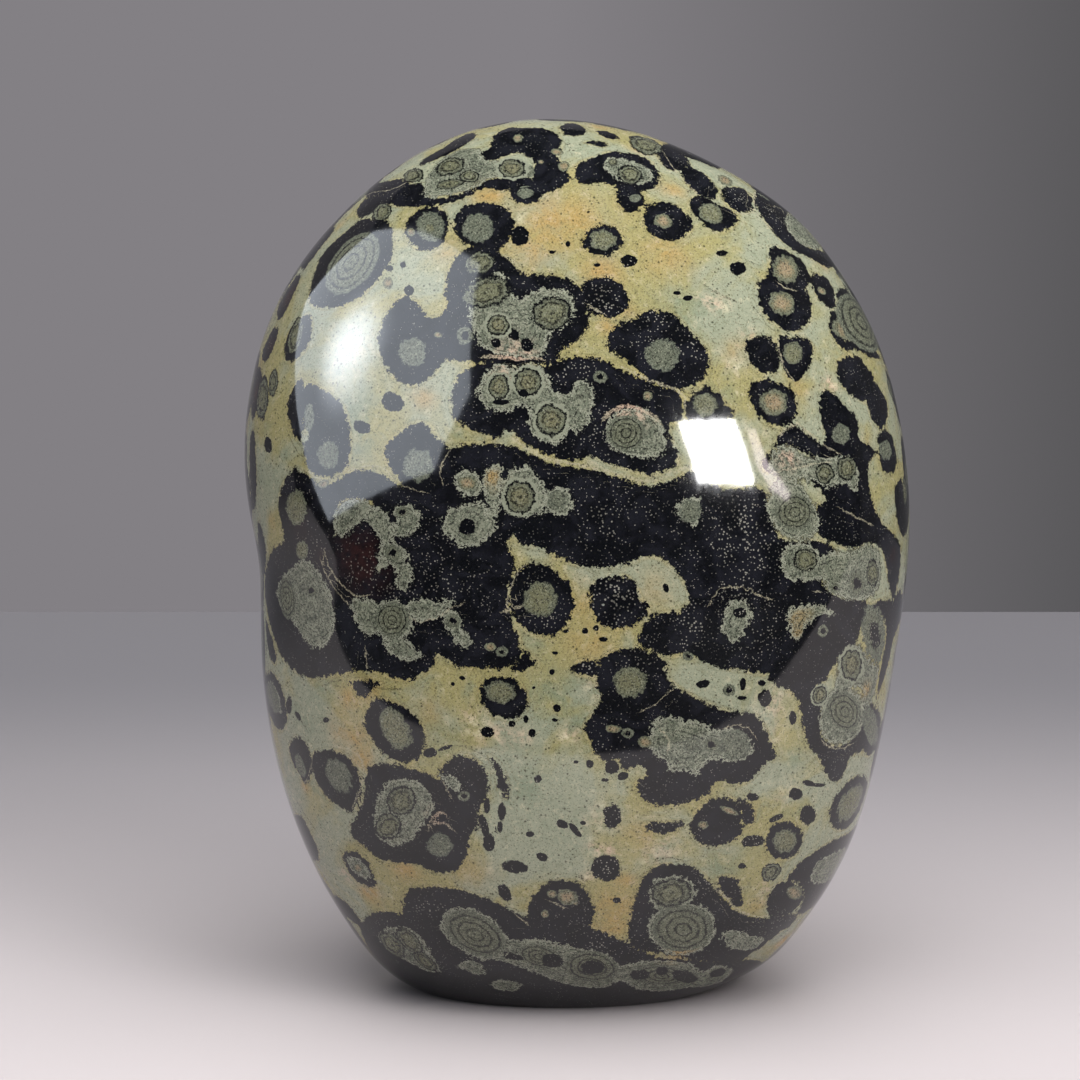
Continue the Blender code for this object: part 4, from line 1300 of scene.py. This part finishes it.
def floorWithPaintedShade():
    # a pale grey with painted shade: its colour darkens towards the back, where the light falls off
    material = paintStage("paleFloorPaintedShade", shade(180, 175, 176))
    nodes, links = material.node_tree.nodes, material.node_tree.links
    place = nodes.new("ShaderNodeTexCoord")
    parts = nodes.new("ShaderNodeSeparateXYZ")
    links.new(place.outputs["Object"], parts.inputs[0])
    # painted shade: the floor's colour runs from a lit front tone to a darker back tone
    depth = nodes.new("ShaderNodeMapRange")
    depth.interpolation_type = "SMOOTHSTEP"
    depth.inputs["From Min"].default_value = -0.24
    depth.inputs["From Max"].default_value = 0.40
    links.new(parts.outputs["Y"], depth.inputs["Value"])
    tone = nodes.new("ShaderNodeMix")
    tone.data_type = "RGBA"
    tone.inputs[6].default_value = shade(200, 192, 193)
    tone.inputs[7].default_value = shade(114, 112, 116)
    links.new(depth.outputs[0], tone.inputs[0])
    links.new(tone.outputs[2], nodes["Principled BSDF"].inputs["Base Color"])
    return material


def setFloor():
    size = studio["floor"]
    corners = [(size["left"], size["front"], 0), (size["right"], size["front"], 0),
               (size["right"], size["back"], 0), (size["left"], size["back"], 0)]
    addSheet("floor", corners, floorWithPaintedShade())
    # painted shade: a near-black sheet that only reflections see, so the stone mirrors darkness in front of
    # it where the camera sees pale floor
    dark = [(size["left"], size["front"], 0.0008), (size["right"], size["front"], 0.0008),
            (size["right"], studio["paintedShadeCardFrom"], 0.0008), (size["left"], studio["paintedShadeCardFrom"], 0.0008)]
    onlyMirrored(addSheet("paintedShadeCard", dark, paintStage("paintedShadeCard", shade(14, 14, 15))))


def setBackdrop():
    radius = studio["wallRadius"]
    steps = 48
    for name, start, end, mirrored in (("backdrop", 0, 180, True), ("backdropFront", 180, 360, False)):
        points, faces = [], []
        for i in range(steps + 1):
            angle = math.radians(start + (end - start) * i / steps)
            x, y = radius * math.cos(angle), radius * math.sin(angle)
            points += [(x, y, -1.2), (x, y, 2.6)]
            if i:
                faces.append((2 * i - 2, 2 * i, 2 * i + 1, 2 * i - 1))
        mesh = bpy.data.meshes.new(name)
        mesh.from_pydata(points, [], faces)
        wall = bpy.data.objects.new(name, mesh)
        bpy.context.scene.collection.objects.link(wall)
        mesh.materials.append(backdropWithPaintedLight())
        wall.visible_diffuse = wall.visible_shadow = False
        wall.visible_glossy = mirrored


def backdropWithPaintedLight():
    # painted light and shade: the backdrop glows instead of being lit, and its glow darkens towards the
    # right as the light on the wall fell off
    material = bpy.data.materials.get("greyBackdropPaintedLightAndShade")
    if material:
        return material
    material = bpy.data.materials.new("greyBackdropPaintedLightAndShade")
    material.use_nodes = True
    nodes, links = material.node_tree.nodes, material.node_tree.links
    nodes.clear()
    place = nodes.new("ShaderNodeTexCoord")
    parts = nodes.new("ShaderNodeSeparateXYZ")
    links.new(place.outputs["Object"], parts.inputs[0])
    across = nodes.new("ShaderNodeMapRange")
    across.inputs["From Min"].default_value = 0.0
    across.inputs["From Max"].default_value = 0.65
    links.new(parts.outputs["X"], across.inputs["Value"])
    tone = nodes.new("ShaderNodeMix")
    tone.data_type = "RGBA"
    tone.inputs[6].default_value = shade(131, 128, 132)
    tone.inputs[7].default_value = shade(86, 85, 87)
    links.new(across.outputs[0], tone.inputs[0])
    glow = nodes.new("ShaderNodeEmission")
    links.new(tone.outputs[2], glow.inputs["Color"])
    out = nodes.new("ShaderNodeOutputMaterial")
    links.new(glow.outputs[0], out.inputs["Surface"])
    return material


def addLamp(name, place, towards, width, height, power, colour=(1, 1, 1)):
    data = bpy.data.lights.new(name, "AREA")
    data.shape = "RECTANGLE"
    data.size, data.size_y = width, height
    data.energy = power
    data.color = colour
    lamp = bpy.data.objects.new(name, data)
    lamp.location = place
    lamp.rotation_euler = (Vector(towards) - Vector(place)).to_track_quat("-Z", "Y").to_euler()
    lamp.visible_glossy = False
    bpy.context.scene.collection.objects.link(lamp)


def setLights(piece):
    world = bpy.data.worlds.new("studio")
    world.use_nodes = True
    world.node_tree.nodes["Background"].inputs["Color"].default_value = (0.02, 0.02, 0.022, 1)
    bpy.context.scene.world = world
    middle = (0, 0, 0.1)
    addLamp("keyLamp", (0.95, -0.95, 0.95), middle, 0.7, 0.7, 12, (1.0, 0.985, 0.97))
    addLamp("leftLamp", (-1.1, -0.9, 0.7), middle, 1.1, 1.1, 1.5, (0.96, 0.98, 1.0))
    addLamp("topLamp", (0.1, -0.45, 1.5), middle, 1.6, 1.6, 40)
    addLamp("backLamp", (-0.3, 1.5, 0.8), middle, 1.3, 1.3, 12)

    chart = Chart(piece.data, np.zeros((len(piece.data.vertices), 2)))
    window = [mirroredPlace(chart, pixel, studio["windowDistance"]) for pixel in studio["windowCorners"]]
    sheet = addSheet("windowPanel", window, paintStage("windowGlow", (1, 1, 1, 1), glow=60))
    onlyMirrored(sheet)
    streak = [mirroredPlace(chart, pixel, studio["windowDistance"]) for pixel in studio["streakCorners"]]
    onlyMirrored(addSheet("streakPanel", streak, paintStage("streakGlow", (1, 0.86, 0.88, 1), glow=9)))
    softbox = [mirroredPlace(chart, pixel, studio["softboxDistance"]) for pixel in studio["softboxCorners"]]
    hot = mirroredPlace(chart, studio["hotCentre"], studio["softboxDistance"])
    sheet = addSheet("softboxPanel", softbox, softboxGlow(hot))
    onlyMirrored(sheet)


def softboxGlow(hot):
    material = bpy.data.materials.new("softboxGlow")
    material.use_nodes = True
    nodes, links = material.node_tree.nodes, material.node_tree.links
    nodes.clear()
    place = nodes.new("ShaderNodeTexCoord")
    away = nodes.new("ShaderNodeVectorMath")
    away.operation = "DISTANCE"
    links.new(place.outputs["Object"], away.inputs[0])
    away.inputs[1].default_value = hot
    strength = nodes.new("ShaderNodeMapRange")
    strength.interpolation_type = "SMOOTHERSTEP"
    strength.inputs["From Min"].default_value = 0.02
    strength.inputs["From Max"].default_value = 0.30
    strength.inputs["To Min"].default_value = 24
    strength.inputs["To Max"].default_value = 3.9
    links.new(away.outputs["Value"], strength.inputs["Value"])
    glow = nodes.new("ShaderNodeEmission")
    glow.inputs["Color"].default_value = (0.88, 0.95, 1.05, 1)
    links.new(strength.outputs[0], glow.inputs["Strength"])
    out = nodes.new("ShaderNodeOutputMaterial")
    links.new(glow.outputs[0], out.inputs["Surface"])
    return material


piece = makeStone()
markStone(piece)
piece.data.materials.append(jasperFinish())
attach(piece, "root")
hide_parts("freeform_stone")
print("finish made")

setCamera()
setFloor()
setBackdrop()
setLights(piece)
bpy.context.scene.view_settings.view_transform = "Standard"
print("studio set")
